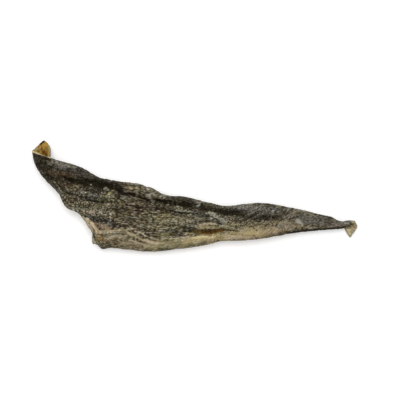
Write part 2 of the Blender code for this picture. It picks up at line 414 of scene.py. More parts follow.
@dataclass(frozen=True)
class Sheet:
    """The curled sheet of the strip, as the solid has it, without its thickness.

    A point of the low edge's outline faces the same point of the high edge's. Sag is how far the
    plate hangs between its rolls, by the place along the strip, and row_places says where the rows
    of the grid stand. The back wall of the open tip reaches past its front rim by tip_lip, given by
    the angle round the roll, and the fan of the tail bulges past its straight end by fan_bulge,
    given by the share of the way round.
    """

    low_outline: Pairs = (
        (-114.1, 31.3), (-111.6, 21.5), (-104.6, 11.2), (-96.2, 2.4), (-90.6, -7.7),
        (-80.8, -13.1), (-74.6, -21.9), (-71.8, -27.2), (-72.0, -32.4), (-68.6, -34.2),
        (-65.4, -37.0), (-60.0, -36.4), (-52.5, -37.1), (-31.5, -39.0), (-9.1, -37.0),
        (6.3, -34.7), (18.9, -31.9), (35.0, -31.3), (47.6, -29.9), (63.0, -27.2), (77.0, -25.1),
        (88.9, -24.1), (97.3, -23.5), (102.2, -23.3), (107.2, -21.6), (110.9, -20.2),
    )
    high_outline: Pairs = (
        (-101.1, 26.4), (-93.8, 24.2), (-85.4, 22.0), (-77.0, 18.5), (-69.3, 13.8), (-61.6, 11.4),
        (-53.9, 10.3), (-51.1, 9.8), (-48.0, 9.3), (-45.6, 8.9), (-43.0, 8.5), (-39.2, 7.9),
        (-35.0, 6.5), (-21.0, 0.7), (-4.9, -1.2), (8.4, -4.8), (21.0, -7.2), (35.0, -5.8),
        (46.9, -5.1), (60.9, -7.1), (75.6, -10.2), (87.5, -13.2), (95.9, -14.9), (102.2, -17.7),
        (107.8, -17.2), (111.5, -17.7),
    )
    low: CurledEdge = LOW_CURL
    high: CurledEdge = HIGH_CURL
    sag: Pairs = ((-108, 0.0), (-90, 1.2), (-60, 2.0), (0, 1.6), (25, 0.6), (45, 0.0), (111, 0.0))
    row_places: Pairs = ((0.0, -107.6), (0.1, -96.0), (0.3, -60.0), (0.35, -48.0), (0.91, 88.0),
                         (1.0, 111.2))
    tip_lip: Pairs = (
        (0, 0.0), (60, 0.2), (75, 1.5), (90, 4.9), (115, 7.5), (140, 9.6), (165, 10.4),
        (190, 7.5), (215, 4.2), (240, 1.5), (262, 0.6),
    )
    tip_length: float = 22.0
    fan_bulge: Pairs = ((0.0, 0.0), (0.3, 0.6), (0.5, 1.8), (0.62, 3.1), (1.0, 0.0))
    fan_length: float = 6.0
    least_width: float = 1.0
    creases: tuple[Crease, ...] = (
        Crease(((-100, 12), (-86, 10.7), (-66, 7.6), (-54, 4.6), (-46, 0.6), (-26, -3.7),
                (0, -6.8), (22, -11.0), (40, -12.4)), 2.3, 2.2),
        Crease(((-78, -2.0), (-64, -4.2), (-52, -4.0), (-37, -8.4), (-20, -10.6), (-6, -12.8)),
               0.9, 1.8),
        Crease(((-78, -14.2), (-66, -16.8), (-52, -19.0)), 0.9, 1.8),
        Crease(((-70, -24.2), (-54, -24.4), (-38, -25.2), (-20, -26.2), (-8, -24.6), (2, -25.0),
                (14, -24.2), (26, -24.8)), 1.5, 2.0),
        Crease(((8, -12.2), (15, -15.0), (22, -18.4)), -0.7, 1.6),
    )
    fan: Fan = Fan()
    wrinkle_height: float = 0.35
    wrinkle_length: float = 26.0
    wrinkles_across: float = 9.0
    wrinkle_seed: int = 5
    wrinkle_cells: int = 64

    def wrinkles(self, x: Array, y: Array) -> Array:
        """Height of the long shallow wrinkles: one less twice the size of a noise along the fan."""
        fold = soft_noise(x / self.wrinkle_length, self.fan.across(x, y) * self.wrinkles_across,
                          self.wrinkle_seed, self.wrinkle_cells)
        return self.wrinkle_height * (1 - 2 * np.abs(fold))

    def lip(self, place: Array, v: Array) -> Array:
        """How far the sheet reaches past the front rim of the tip: most at its very end.

        Args:
            place: places along the strip.
            v: share of the way across.

        Returns:
            The reach at each point, which fades out by a square over the tip's length.
        """
        tip, full_turn = self.row_places[0][1], self.high.turn[0][1]
        lip = np.where(v > 0, profile(self.tip_lip, np.clip(v, 0, 1) * full_turn), 0.0)
        return lip * (1 - np.clip((place - tip) / self.tip_length, 0, 1)) ** 2

    def sample(self, u: Array, v: Array) -> SheetSample:
        """The skin side of the strip, as a function of two parameters.

        At each place along the strip the section is a flat plate between two rolls. The plan of a
        point lies on the straight line from the low outline to the high one, as far over as its
        section reaches, and its height is the roll's top less the drop, plus wrinkles and creases.

        Args:
            u: share of the way from the tip, 0, to the tail, 1.
            v: share of the way across, -1 at the low rim and 1 at the high rim.

        Returns:
            The points in millimetres, their places on the unrolled sheet and their angle.
        """
        place = profile(self.row_places, u)
        tip, end = place.min(), place.max()
        lip = self.lip(place, v)
        past_rim = np.maximum(tip - place + lip, 0.0)
        place = np.maximum(place - lip, tip)

        middles = [(a[0] + b[0]) / 2 for a, b in zip(self.low_outline, self.high_outline)]
        low_edge = smooth_curve(middles, self.low_outline, place)
        high_edge = smooth_curve(middles, self.high_outline, place)
        width = np.linalg.norm(high_edge - low_edge, axis=-1)
        low, high = self.low.at(place), self.high.at(place)
        plate = np.maximum(width - low.overhang - high.overhang, 0.0) / 2

        low_arc = -v * (plate + low.turn_length + low.leg)
        high_arc = v * (plate + high.turn_length + high.leg)
        sections = zip(high.curl(high_arc, plate), low.curl(low_arc, plate))
        on_high = v > 0
        reach, drop, angle, on_leg = (np.where(on_high, h, l) for h, l in sections)
        over = low.overhang + plate + np.where(on_high, reach, -reach)
        across = (high_edge - low_edge) / width[..., None]
        plan = low_edge + across * over[..., None]
        flat = low.overhang + plate + np.where(on_high, high_arc, -low_arc)
        unrolled = low_edge + across * flat[..., None]
        unrolled[..., 1] += past_rim

        share = np.clip((over - low.overhang) / np.maximum(2 * plate, self.least_width), 0, 1)
        top = low.top + (high.top - low.top) * np.where(angle > 0, on_high, ease(share))
        relief = self.wrinkles(plan[..., 0], plan[..., 1])
        for crease in self.creases:
            relief -= crease.depth_at(plan[..., 0], plan[..., 1])
        relief -= profile(self.sag, place) * np.sin(np.pi * share)
        height = top - drop + relief * np.clip(np.cos(angle), 0, 1) ** 2

        round_fan = (angle / high.turn + on_leg / np.maximum(high.leg, self.least_width)) / 2
        bulge = np.where(on_high, profile(self.fan_bulge, round_fan), 0.0)
        plan[..., 0] += bulge * np.clip((place - end) / self.fan_length + 1, 0, 1) ** 2
        plan[..., 1] += past_rim
        points = np.dstack((plan, np.maximum(height, 0.0)))
        return SheetSample(points, unrolled, angle)


FULL_COVER = 1 / 3
NO_COVER = 5 / 3


@dataclass(frozen=True)
class Mark:
    """One feature of the surface, brushed along a route seen from above.

    The route holds places x and y with the half width there. The height lifts or sinks the
    surface under the brush, ragged is how far its border strays, and broken is how much of the
    ground shows through it in flecks. Calm is the share of the skin's pattern that it hides, and
    outline is the strength of a dark ring round it: painted shade round a raised lump or fold.
    """

    name: str
    tint: Tint
    strength: float
    height: float
    ragged: float
    route: tuple[Triple, ...]
    broken: float = 1.0
    calm: float = 0.0
    outline: float = 0.0

    def cover(self, x: Array, y: Array, stray: tuple[Array, Array]) -> Array:
        """Cover of the brush, 0 to 1.

        The distance to the nearest straight run of the route is taken as a share of the half
        width there; the cover is full up to a third of it and gone at five thirds.

        Args:
            x: places along the strip.
            y: places across it.
            stray: two noises between -1 and 1 that shift the places, times ragged.

        Returns:
            The cover at each place.
        """
        x = x + self.ragged * stray[0]
        y = y + self.ragged * stray[1]
        best = np.full(x.shape, np.inf)
        for (x0, y0, w0), (x1, y1, w1) in zip(self.route[:-1], self.route[1:]):
            dx, dy = x1 - x0, y1 - y0
            f = np.clip(((x - x0) * dx + (y - y0) * dy) / (dx * dx + dy * dy), 0, 1)
            gap = np.hypot(x - x0 - f * dx, y - y0 - f * dy) / (w0 + f * (w1 - w0))
            best = np.minimum(best, gap)
        return ease((NO_COVER - best) / (NO_COVER - FULL_COVER))


BAR_HALF_WIDTH = 0.25
BARS = (
    ("first", 0.6, (11.4, -11.6), (10.6, -13.6)),
    ("second", 0.6, (13.4, -12.1), (12.4, -14.4)),
    ("third", 0.6, (15.2, -13), (14.2, -15.4)),
    ("fourth", 0.7, (17.4, -14.4), (16.2, -16.6)),
    ("fifth", 0.6, (19.4, -15.8), (18, -18.2)),
    ("sixth", 0.5, (21.4, -17.2), (20, -19.8)),
)
RIDGE_BARS = tuple(
    Mark(f"{order} bar of the ridge", Tint.UMBER, strength, -0.15, 0.1,
         ((*top, BAR_HALF_WIDTH), (*foot, BAR_HALF_WIDTH)))
    for order, strength, top, foot in BARS
)

SKIN_MARKS = (
    # Fields of colour
    # Partly the dark skin of the back, partly painted shade on the roll's lower flank, which faces away
    # from the lamp.
    Mark("upper roll", Tint.COAL, 0.97, 0, 1.2, ((-113, 27, 4), (-105, 23, 5.5), (-94, 19, 6.5),
         (-80, 14, 5.5), (-66, 9, 4), (-51, 6, 3.5)), broken=0.3, calm=0.4),
    Mark("black skin under the tip", Tint.INK, 0.6, 0, 0.8, ((-112, 28, 2), (-107, 26, 3.5),
         (-101, 22.5, 3)), broken=0.3, calm=0.3),
    Mark("brown flank of the upper roll", Tint.BARK, 0.85, 0, 0.8, ((-102.6, 16.6, 1.3), (-97, 16, 2.2),
         (-91, 14.8, 2), (-85, 13.6, 1.4)), broken=0.5, calm=0.5),
    # Painted shade on the flank under the tip, where the skin turns under.
    Mark("painted shade on the flank under the tip", Tint.INK, 0.6, 0, 0.8, ((-109, 21.6, 1.2), (-106, 18.6, 2.1),
         (-102.4, 15.6, 1.6)), broken=0.4, calm=0.3),
    Mark("slate shoulder of the upper roll", Tint.SMOKE, 0.55, 0, 0.8, ((-103, 23.4, 1.2),
         (-98.4, 21.8, 1.8), (-92, 19.6, 1.4)), broken=0.5),
    Mark("left border", Tint.SLATE, 0.5, 0, 0.8, ((-113, 25, 1.5), (-107, 14, 1.7), (-100, 7, 1.7),
         (-93, -1, 1.7))),
    # Painted shade along the left border, where the cut edge turns under.
    Mark("painted shade of the left border", Tint.COAL, 0.75, 0, 0.8, ((-112, 22, 1.4), (-108, 16, 2), (-103, 10.6, 2),
         (-97, 4, 1.6)), broken=0.4, calm=0.3),
    Mark("slate under the main crease", Tint.COAL, 0.6, 0, 0.8, ((-80, 6.4, 1.6), (-73, 4.8, 2.2),
         (-66, 4, 1.6)), broken=0.4),
    Mark("slate over the main crease", Tint.SLATE, 0.6, 0, 0.8, ((-84, 15, 1.2), (-78, 13.4, 1.6),
         (-73, 12.8, 1.2)), broken=0.4, calm=0.3),
    Mark("plum patch", Tint.SOOT, 0.72, 0, 0.8, ((-98, 9, 1.6), (-91, 7.6, 3), (-84, 6.2, 3.2),
         (-78, 5.4, 2.6)), broken=0.25, calm=0.3),
    Mark("left field", Tint.SMOKE, 0.55, 0, 1.5, ((-84, 1, 2.4), (-76, 0, 3), (-66, -1, 3))),
    Mark("olive field", Tint.DRAB, 0.7, 0, 1.5, ((-64, -1, 3), (-57, -3, 4), (-49, -6, 3.5)), broken=0.25),
    Mark("low left field", Tint.DRAB, 0.9, 0, 1.2, ((-70, -7, 2.6), (-64, -8.5, 3.4), (-56, -10.5, 3.6)),
         broken=0.25),
    Mark("brown field of the middle", Tint.BRAN, 0.5, 0, 1.2, ((-54, -4.5, 3), (-46, -6.5, 3),
         (-38, -8.5, 2.6)), broken=0.25),
    Mark("middle field", Tint.DRAB, 0.8, 0, 1.5, ((-47, -14, 3.5), (-34, -15, 3.5), (-21, -16, 3.5),
         (-10, -16, 3.5), (6, -15.5, 3)), broken=0.25, calm=0.15),
    Mark("lighter part of the middle field", Tint.KHAKI, 0.4, 0, 1.2, ((-24, -16.5, 2.6), (-14, -17.5, 3),
         (-4, -18, 2.6)), broken=0.3),
    Mark("dark skin before the ridge", Tint.COAL, 0.85, 0, 0.8, ((-3.4, -11.4, 1.4), (1, -12.4, 2.4),
         (5, -13.4, 2.2), (8, -15, 1.2)), broken=0.4),
    Mark("dark skin over the flecks", Tint.UMBER, 0.6, 0, 0.8, ((-2.6, -16.8, 1), (0.4, -19.4, 1.5),
         (-2, -22, 1)), broken=0.5),
    Mark("cool patch of the middle", Tint.SMOKE, 0.4, 0, 1, ((-47, -15.2, 1.6), (-41, -15.8, 2),
         (-36, -16.4, 1.6)), calm=0.2),
    Mark("moss band of the middle", Tint.MOSS, 0.45, 0, 0.8, ((-28, -18.2, 1), (-22.4, -19, 1.2),
         (-17, -18.4, 1))),
    Mark("lower roll, left", Tint.DUN, 0.85, 0, 1, ((-66, -31, 2.5), (-62, -30, 3), (-52, -32.5, 3.5),
         (-38, -34.5, 3.5), (-27, -35, 3)), broken=0.2, calm=0.5),
    Mark("drab foot of the corner", Tint.BARK, 0.5, 0, 0.8, ((-66, -31.4, 1.4), (-61, -31.8, 1.8),
         (-54, -32.6, 1.2)), broken=0.5, calm=0.3),
    Mark("light skin of the lower roll", Tint.LINEN, 0.5, 0, 0.8, ((-53, -26.8, 1.2), (-47, -27.4, 1.8),
         (-40, -28.6, 1.6), (-35, -30, 1)), broken=0.25, calm=0.35),
    Mark("lower roll, middle", Tint.KHAKI, 0.8, 0, 1, ((-32, -34.2, 3.4), (-20, -33.8, 3.6),
         (-12, -33, 3.5), (-3, -32.5, 3)), broken=0.2, calm=0.5),
    Mark("dip over the lower roll", Tint.KHAKI, 0.45, 0, 1, ((-24, -27.5, 2), (-15, -28, 2))),
    Mark("moss patch of the lower roll", Tint.MOSS, 0.75, 0.1, 0.6, ((-26, -27, 1.3), (-21, -27.8, 1.6)),
         broken=0.5, calm=0.4),
    Mark("belly", Tint.TAN, 0.97, 0, 1.3, ((-6, -31.5, 2.4), (1, -30.6, 3.2), (9, -30.3, 3.2),
         (19, -29, 2.8), (29, -27, 3.5), (37, -25.9, 4.2), (45.5, -24.8, 3.8), (53, -24.2, 2.6),
         (58, -24, 1.4)), broken=0.2, calm=0.3),
    Mark("straw band of the belly", Tint.STRAW, 0.55, 0, 0.7, ((-1, -29.4, 1.2), (8, -29.4, 1.4),
         (16, -28.5, 1)), broken=0.4, calm=0.2),
    Mark("straw end of the belly", Tint.STRAW, 0.5, 0, 0.8, ((36, -27.4, 1.5), (42, -27, 1.7),
         (47, -26.8, 1.2)), broken=0.4, calm=0.2),
    Mark("rosy foot of the belly", Tint.ROSE, 0.4, 0, 0.8, ((22, -28.6, 1.2), (30, -29, 1.4),
         (38, -29.6, 1.2)), broken=0.4, calm=0.3),
    Mark("cream line of the belly", Tint.CREAM, 0.55, 0.1, 0.4, ((-2, -29.2, 0.4), (6, -28.9, 0.7),
         (14, -28.4, 0.5)), broken=0.6),
    Mark("brown veil of the belly", Tint.BRAN, 0.6, 0, 1.3, ((38, -19.4, 1.6), (46, -19.6, 2.1),
         (54, -19.6, 2.1), (62, -19, 1.8))),
    Mark("rosy patch of the belly", Tint.MAUVE, 0.45, 0, 0.7, ((46, -21.6, 1.3), (50, -22.4, 1.5),
         (53, -23.3, 1.3))),
    Mark("fade of the belly", Tint.FAWN, 0.6, 0, 1.5, ((50, -26, 1.6), (57, -24.4, 2.4), (64, -23, 2),
         (70, -22, 1.2)), broken=0.7, calm=0.2),
    Mark("dark scale field", Tint.SLATE, 0.95, 0, 1.5, ((22, -9.5, 2), (31.5, -10.8, 2.6), (38, -11.3, 3),
         (44, -11.3, 4.1), (49, -11.5, 4), (57, -11.8, 3.2), (63, -12, 2)), broken=0.3),
    Mark("light end of the dark scales", Tint.SMOKE, 0.2, 0, 1, ((50, -9.8, 1.6), (56, -11.4, 2.4),
         (62, -12.6, 2.2), (67, -13.6, 1.6)), broken=0.6),
    Mark("top of the bend", Tint.SMOKE, 0.6, 0, 0.8, ((24, -7.4, 1.3), (31.5, -7.4, 1.8), (38.5, -8, 2),
         (48, -8.6, 1.8), (58, -10, 1.6)), broken=0.7),
    Mark("dark scale band", Tint.INK, 0.75, 0, 1, ((30, -13.6, 1), (35, -14.8, 1.5), (40, -15.2, 2),
         (47, -15.2, 2.1), (54, -16, 1.8), (61, -16.9, 1.1)), broken=0.5),
    Mark("drab bend", Tint.DRAB, 0.45, 0, 1, ((22, -16.8, 1.8), (30, -17.8, 2), (38.5, -18.8, 1.6)),
         broken=0.6),
    Mark("olive part of the bend", Tint.KHAKI, 0.45, 0, 0.8, ((19, -18.4, 1), (25, -19.6, 1.6),
         (32, -20.4, 1.2)), broken=0.5),
    Mark("olive fringe of the belly", Tint.OLIVE, 0.5, 0, 0.8, ((31.5, -20.4, 1), (40, -19.2, 1.2),
         (48, -18.6, 1))),
    Mark("speckled shoulder", Tint.DUN, 0.3, 0, 1, ((61, -15, 1.7), (66, -16.4, 2.1), (69, -17.7, 2.1))),
    Mark("start of the tail", Tint.SMOKE, 0.5, 0, 2, ((60, -15, 2.6), (66, -16.6, 3.2), (72, -18, 3.6)),
         broken=0.6, calm=0.2),
    Mark("light skin before the tail", Tint.DUN, 0.65, 0, 1, ((53, -17.2, 1), (58, -17.6, 1.8),
         (64, -18.6, 2.2), (69, -21, 2.1), (75, -22.2, 2), (80, -21.6, 1.3)), broken=0.5, calm=0.2),
    Mark("light skin behind the border", Tint.KHAKI, 0.3, 0, 1.2, ((-87, 7.4, 1.6), (-84, 7.2, 2.2),
         (-80.5, 6.4, 1.8)), broken=0.6),
    # Painted shade, darkening the crease by the left border further.
    Mark("painted shade by the crease of the border", Tint.SOOT, 0.3, 0, 1, ((-94, 7.6, 1), (-91.6, 4.6, 1.8),
         (-89.4, 1.4, 1.6)), broken=0.6),
    Mark("dark skin under the tip", Tint.SOOT, 0.25, 0, 1.2, ((-107, 18, 1.4), (-102, 17.2, 2.2),
         (-96, 16.2, 1.8)), broken=0.6),
    Mark("light skin over the dip", Tint.LINEN, 0.28, 0, 1.2, ((-38.5, -22.4, 1.4), (-31, -22.4, 2.2),
         (-21, -22.8, 1.8)), broken=0.6),
    Mark("light skin of the tail's end", Tint.DUN, 0.4, 0, 1, ((86, -16.8, 1), (91, -17.6, 1.6),
         (96, -18.4, 1)), broken=0.5),
    Mark("shaded rim of the belly", Tint.BARK, 0.35, 0, 0.6, ((1, -33.2, 1), (7, -32.4, 1.2),
         (13, -31, 0.8)), broken=0.4),
    Mark("dark skin under the crease", Tint.SOOT, 0.2, 0, 1.2, ((-2.5, -16.4, 2), (0, -19.4, 2.6),
         (0.6, -22.6, 1.8)), broken=0.8),
    Mark("upper shoulder of the tail", Tint.SMOKE, 0.4, 0, 1, ((60, -10, 1.6), (68, -11.4, 2),
         (76, -13.4, 2)), broken=0.5, calm=0.2),
    Mark("tail", Tint.ASHEN, 0.92, 0, 1.5, ((75, -16.4, 3.5), (85, -17.7, 3.5), (93, -18.4, 3),
         (103, -20.2, 2)), broken=0.3, calm=0.5),
    Mark("neck", Tint.MAUVE, 0.5, 0, 0.6, ((94, -19.8, 1.2), (98, -20.6, 1.2), (103, -21.4, 1.1))),
    Mark("top of the tail fan", Tint.ASHEN, 0.8, 0, 0.3, ((103, -19, 1.2), (107, -18.2, 1.4),
         (110, -17.8, 1)), broken=0.2, calm=0.4),
    # Dark creases and lines; the flank and the main crease under the upper roll are painted shade
    # Painted shade on the upper roll's lower flank, which faces away from the lamp.
    Mark("painted shade on the flank over the main crease", Tint.INK, 0.8, 0, 1.2, ((-77, 10.2, 1.2), (-72, 9.6, 2.6),
         (-66, 8.6, 2.8), (-59, 6.6, 1.8)), broken=0.4, calm=0.3),
    Mark("dark band of the upper roll", Tint.INK, 0.55, 0, 0.8, ((-111, 22, 1.4), (-105, 19.8, 0.9),
         (-99, 19.6, 0.8))),
    # Painted shade: the main crease lies in the shadow of the upper roll's ridge, and these four marks
    # paint it dark.
    Mark("painted shade of the main crease at the tip", Tint.INK, 0.9, 0, 0.8, ((-105, 14, 1.3), (-101.5, 12.4, 2.1),
         (-97.5, 11.4, 1.7), (-94, 11.9, 0.9)), broken=0.6, calm=0.2),
    Mark("main crease", Tint.INK, 0.97, 0, 0.6, ((-90, 11.6, 0.8), (-86, 11, 1.2), (-80, 9.2, 1.6),
         (-73.5, 8, 2.3), (-67, 7.4, 2.2), (-62, 6.6, 1.6), (-57, 4.9, 1.5), (-53, 3.4, 1.3)), broken=0.1,
         calm=0.6),
    Mark("painted shade of the main crease, middle", Tint.INK, 0.95, 0, 0.5, ((-53, 3.4, 1.2), (-47, 1.4, 1.1), (-41, 0, 1.1),
         (-36, -1.8, 1.1), (-33, -3, 0.8), (-27, -2.8, 1.3), (-24, -3.4, 1.5), (-19, -4.2, 1.3),
         (-14, -5.8, 1.6), (-8, -6.6, 1.8)), broken=0.4, calm=0.3),
    Mark("painted shade of the main crease, right", Tint.INK, 0.95, 0, 0.6, ((-8, -6, 1.8), (-2, -7, 2.2), (4, -8.4, 2),
         (10, -9.4, 2.1), (16, -10.4, 1.8), (22, -11.5, 1.8), (28, -12.3, 1.3), (34, -13.2, 1)),
         broken=0.15, calm=0.5),
    Mark("second crease, left", Tint.INK, 0.7, -0.35, 0.5, ((-82, 0, 0.5), (-76, -1.8, 0.6),
         (-71.5, -3.8, 0.5), (-65, -4.6, 0.6), (-58, -4, 0.5))),
    # Painted shade in the crease by the left border.
    Mark("painted shade in the crease of the border", Tint.INK, 0.85, -0.2, 0.6, ((-94.6, 6.4, 0.8), (-91, 3, 1.4),
         (-86, 1.2, 1.2), (-82, 0.4, 0.7)), broken=0.5, calm=0.5),
    Mark("second crease", Tint.SOOT, 0.9, -0.3, 0.3, ((-50, -5.2, 0.35), (-46, -6.6, 0.45),
         (-41, -7.8, 0.55), (-36, -8.6, 0.6), (-28, -9.3, 0.65), (-21, -10, 0.6), (-14, -11.2, 0.55),
         (-7, -12.2, 0.5), (1, -12.6, 0.4)), broken=0.1),
    Mark("second crease, branch", Tint.SOOT, 0.7, -0.25, 0.3, ((-52, -8.4, 0.35), (-46, -9.4, 0.5),
         (-40, -10.7, 0.5), (-33, -11.5, 0.35)), broken=0.2),
    Mark("crease under the branch", Tint.SOOT, 0.35, -0.2, 0.4, ((-36, -12.6, 0.5), (-28, -12.4, 0.5),
         (-20, -12.8, 0.5))),
    Mark("first slanting nick", Tint.INK, 0.55, -0.25, 0.2, ((-58.8, -8.6, 0.5), (-56.7, -6, 0.6),
         (-54.2, -2.6, 0.6), (-51.8, -0.4, 0.4))),
    Mark("second slanting nick", Tint.INK, 0.35, -0.2, 0.2, ((-55.6, -7.4, 0.4), (-53.4, -4.6, 0.5),
         (-51, -2.4, 0.4))),
    Mark("third slanting nick", Tint.INK, 0.5, -0.2, 0.2, ((-61.6, -9.8, 0.4), (-60, -7.4, 0.5),
         (-58.6, -4.4, 0.4))),
    Mark("olive hollow", Tint.INK, 0.6, -0.2, 0.8, ((-56, -12, 0.8), (-54, -10.8, 1.1),
         (-51.4, -11.4, 0.9))),
    Mark("third crease", Tint.COAL, 0.85, -0.3, 0.6, ((-78, -14.4, 0.7), (-73.5, -15, 1.2),
         (-68.6, -16.4, 1.7), (-63, -17.4, 1.6), (-57.6, -17.9, 1.1)), broken=0.6),
    Mark("third crease, right", Tint.INK, 0.5, -0.2, 0.9, ((-58, -19.4, 1.1), (-53, -20.6, 1.4),
         (-47.6, -21.2, 0.9))),
    Mark("dark wrinkles over the tan line", Tint.SOOT, 0.85, -0.2, 0.8, ((-60, -21.4, 0.8), (-53, -22, 1.2),
         (-47, -21.8, 1.2), (-41, -21, 0.6)), broken=0.7),
    Mark("dark skin over the wrinkles", Tint.SOOT, 0.55, -0.1, 0.8, ((-52, -16.6, 1), (-44, -17.2, 1.6),
         (-38, -17.2, 1.4), (-33, -17.4, 1)), broken=0.6),
    Mark("dark patch of the second crease", Tint.SOOT, 0.45, -0.1, 0.8, ((-45, -6.2, 0.8), (-42, -7.2, 1.4),
         (-38, -8, 1)), broken=0.5),
    Mark("dark patch under the olive roof", Tint.SOOT, 0.5, -0.1, 0.6, ((-45, 3, 0.8), (-41.6, 2.2, 1.2),
         (-38, 1, 0.8)), broken=0.5),
    Mark("dark patch under the lumps", Tint.SOOT, 0.65, -0.1, 0.8, ((-24, -11.4, 1), (-21, -12, 1.5),
         (-18, -12.4, 1)), broken=0.6),
    Mark("line over the lower roll", Tint.BARK, 0.6, -0.25, 0.3, ((-56, -26.6, 0.4), (-51, -26.9, 0.6),
         (-46, -26.2, 0.4))),
    Mark("wrinkle by the tan fold", Tint.BARK, 0.5, -0.3, 0.5, ((-47.5, -27.6, 0.4), (-43.5, -29.8, 0.6),
         (-38.5, -31.8, 0.5), (-34, -33.4, 0.4)), broken=0.2),
    Mark("wrinkle of the corner", Tint.BARK, 0.4, -0.2, 0.3, ((-59, -31.4, 0.4), (-55, -31, 0.5),
         (-50, -31.6, 0.4))),
    Mark("wrinkle of the lower roll", Tint.BARK, 0.5, -0.25, 0.5, ((-38.5, -29.6, 0.4), (-31.5, -31.2, 0.5),
         (-26, -32.2, 0.4)), broken=0.2),
    Mark("dip, left", Tint.BARK, 0.3, -0.25, 0.6, ((-40.6, -23.8, 0.6), (-35, -24.6, 0.8),
         (-29, -25.2, 0.6))),
    Mark("dip, right", Tint.BARK, 0.45, -0.25, 0.4, ((-35, -26.6, 0.5), (-30, -26.6, 0.7),
         (-25.4, -26.2, 0.5))),
    Mark("line over the belly", Tint.BARK, 0.6, -0.25, 0.5, ((-19.6, -28.6, 0.5), (-12.6, -28.2, 0.6),
         (-5.6, -27.5, 0.5))),
    Mark("flecks before the rust crease", Tint.INK, 0.7, -0.2, 0.6, ((-10, -22.6, 0.7), (-3, -22.8, 1.4),
         (1.6, -23.4, 1.2))),
    Mark("line over the flecks", Tint.INK, 0.35, -0.2, 0.4, ((-16, -21.4, 0.5), (-10, -22.2, 0.6),
         (-2, -22.6, 0.5))),
    Mark("thin line over the highlight", Tint.INK, 0.8, -0.25, 0.3, ((0, -18.2, 0.4), (6, -18.2, 0.5),
         (11, -17.6, 0.5), (15, -18.2, 0.5), (18.6, -19.8, 0.4))),
    Mark("glow round the rust crease", Tint.OCHRE, 0.35, 0, 0.5, ((-2, -25, 1), (5, -25.2, 1.8),
         (12, -25.4, 2.1), (18, -24.6, 1.8), (22, -24.4, 0.8)), calm=0.4),
    Mark("line before the rust crease", Tint.SOOT, 0.7, -0.3, 0.3, ((-8, -24.8, 0.5), (-2, -25, 0.6),
         (4, -25, 0.7)), broken=0.5),
    Mark("rust crease", Tint.RUST, 0.98, -0.5, 0.3, ((-1, -24.8, 0.4), (4, -25, 0.9), (8, -25, 1.3),
         (12, -24.8, 1.3), (15.4, -24.4, 1.1), (18, -24, 0.9), (21, -23.8, 0.5)), broken=0.4, calm=0.5),
    Mark("black heart of the rust crease", Tint.INK, 0.45, -0.2, 0.3, ((5.6, -24.5, 0.4), (10, -24.5, 0.7),
         (14, -24.1, 0.4)), broken=0.5),
    Mark("end of the rust crease", Tint.SOOT, 0.8, -0.25, 0.3, ((20, -23.8, 0.5), (25, -24.1, 0.6),
         (31, -24.8, 0.4)), broken=0.5),
    Mark("amber lip of the rust crease", Tint.AMBER, 0.35, 0, 0.3, ((6.5, -26.3, 0.5), (10, -26.5, 0.7),
         (13.3, -26.1, 0.5)), broken=0.5),
    Mark("olive wrinkle", Tint.INK, 0.35, -0.2, 0.3, ((19, -22.3, 0.4), (26, -22.6, 0.5),
         (34, -22.2, 0.4))),
    Mark("first arc of the belly", Tint.BARK, 0.6, -0.15, 0.2, ((31.5, -21.2, 0.4), (36.4, -20.9, 0.5),
         (40.6, -22.3, 0.5), (44, -25, 0.4)), broken=0.5),
    Mark("second arc of the belly", Tint.BRAN, 0.5, -0.1, 0.2, ((28, -25.4, 0.4), (34, -23.8, 0.4),
         (39, -24.6, 0.4)), broken=0.5),
    Mark("line of the belly", Tint.BRAN, 0.6, -0.1, 0.2, ((24, -27, 0.4), (33, -27.6, 0.4), (42, -28, 0.4)),
         broken=0.5),
    Mark("upper streak of the scale field", Tint.INK, 0.4, -0.15, 0.4, ((45, -14.4, 0.7), (50, -14.8, 0.8),
         (56, -14.8, 0.7), (61, -14.2, 0.5)), broken=0.9),
    Mark("dark end of the belly", Tint.SOOT, 0.6, -0.1, 0.6, ((38.6, -16.4, 0.8), (42, -17.2, 1.3),
         (46, -17.6, 0.8)), broken=0.6),
    Mark("lower streak of the scale field", Tint.INK, 0.35, -0.15, 0.4, ((50, -17, 0.5), (56, -17, 0.7),
         (62, -16.4, 0.5)), broken=0.9),
    Mark("dark top rim", Tint.INK, 0.5, 0, 0.4, ((47, -6, 0.6), (54, -6.4, 0.6), (62, -7.6, 0.5),
         (71, -9, 0.6), (79, -11.4, 0.6), (87.5, -13.7, 0.5), (96, -15, 0.5)), broken=0.5),
    # Painted shade on the lower roll's underside along the tail, which faces away from the lamp.
    Mark("painted shade on the lower rim of the tail", Tint.INK, 0.95, 0, 0.3, ((64, -26, 0.3), (72, -24.9, 0.4), (79, -24, 0.5),
         (87.5, -23.5, 0.6), (94.5, -23, 0.7), (100, -22.7, 0.7), (104.5, -22.3, 0.6)), broken=0.3,
         calm=0.5),
    Mark("shaded lower rim", Tint.DRAB, 0.2, 0, 0.4, ((47, -29, 0.6), (55, -27.6, 0.6), (63.7, -26, 0.6)),
         broken=0.4, calm=0.5),
    Mark("red line of the tail", Tint.BARK, 0.7, -0.2, 0.2, ((74, -20, 0.4), (79, -20.6, 0.5),
         (85, -21.3, 0.5), (89, -21.6, 0.4)), broken=0.4),
    Mark("ring of the tail", Tint.INK, 0.25, -0.12, 0.1, ((91, -16.7, 0.4), (91, -18.4, 0.4),
         (92, -19, 0.4), (93.4, -18, 0.4), (93, -16.5, 0.4), (91, -16.7, 0.4))),
    Mark("fold of the tail fan", Tint.SOOT, 0.85, -0.2, 0.2, ((103, -22.4, 0.5), (107, -21.6, 0.6),
         (110.4, -20.2, 0.5)), broken=0.3),
    # Pale folds, streaks and cut edges, with the cracks in them
    Mark("lit rim of the upper roll", Tint.ASH, 0.5, 0.1, 0.8, ((-100, 24.2, 1), (-95, 23, 1.6),
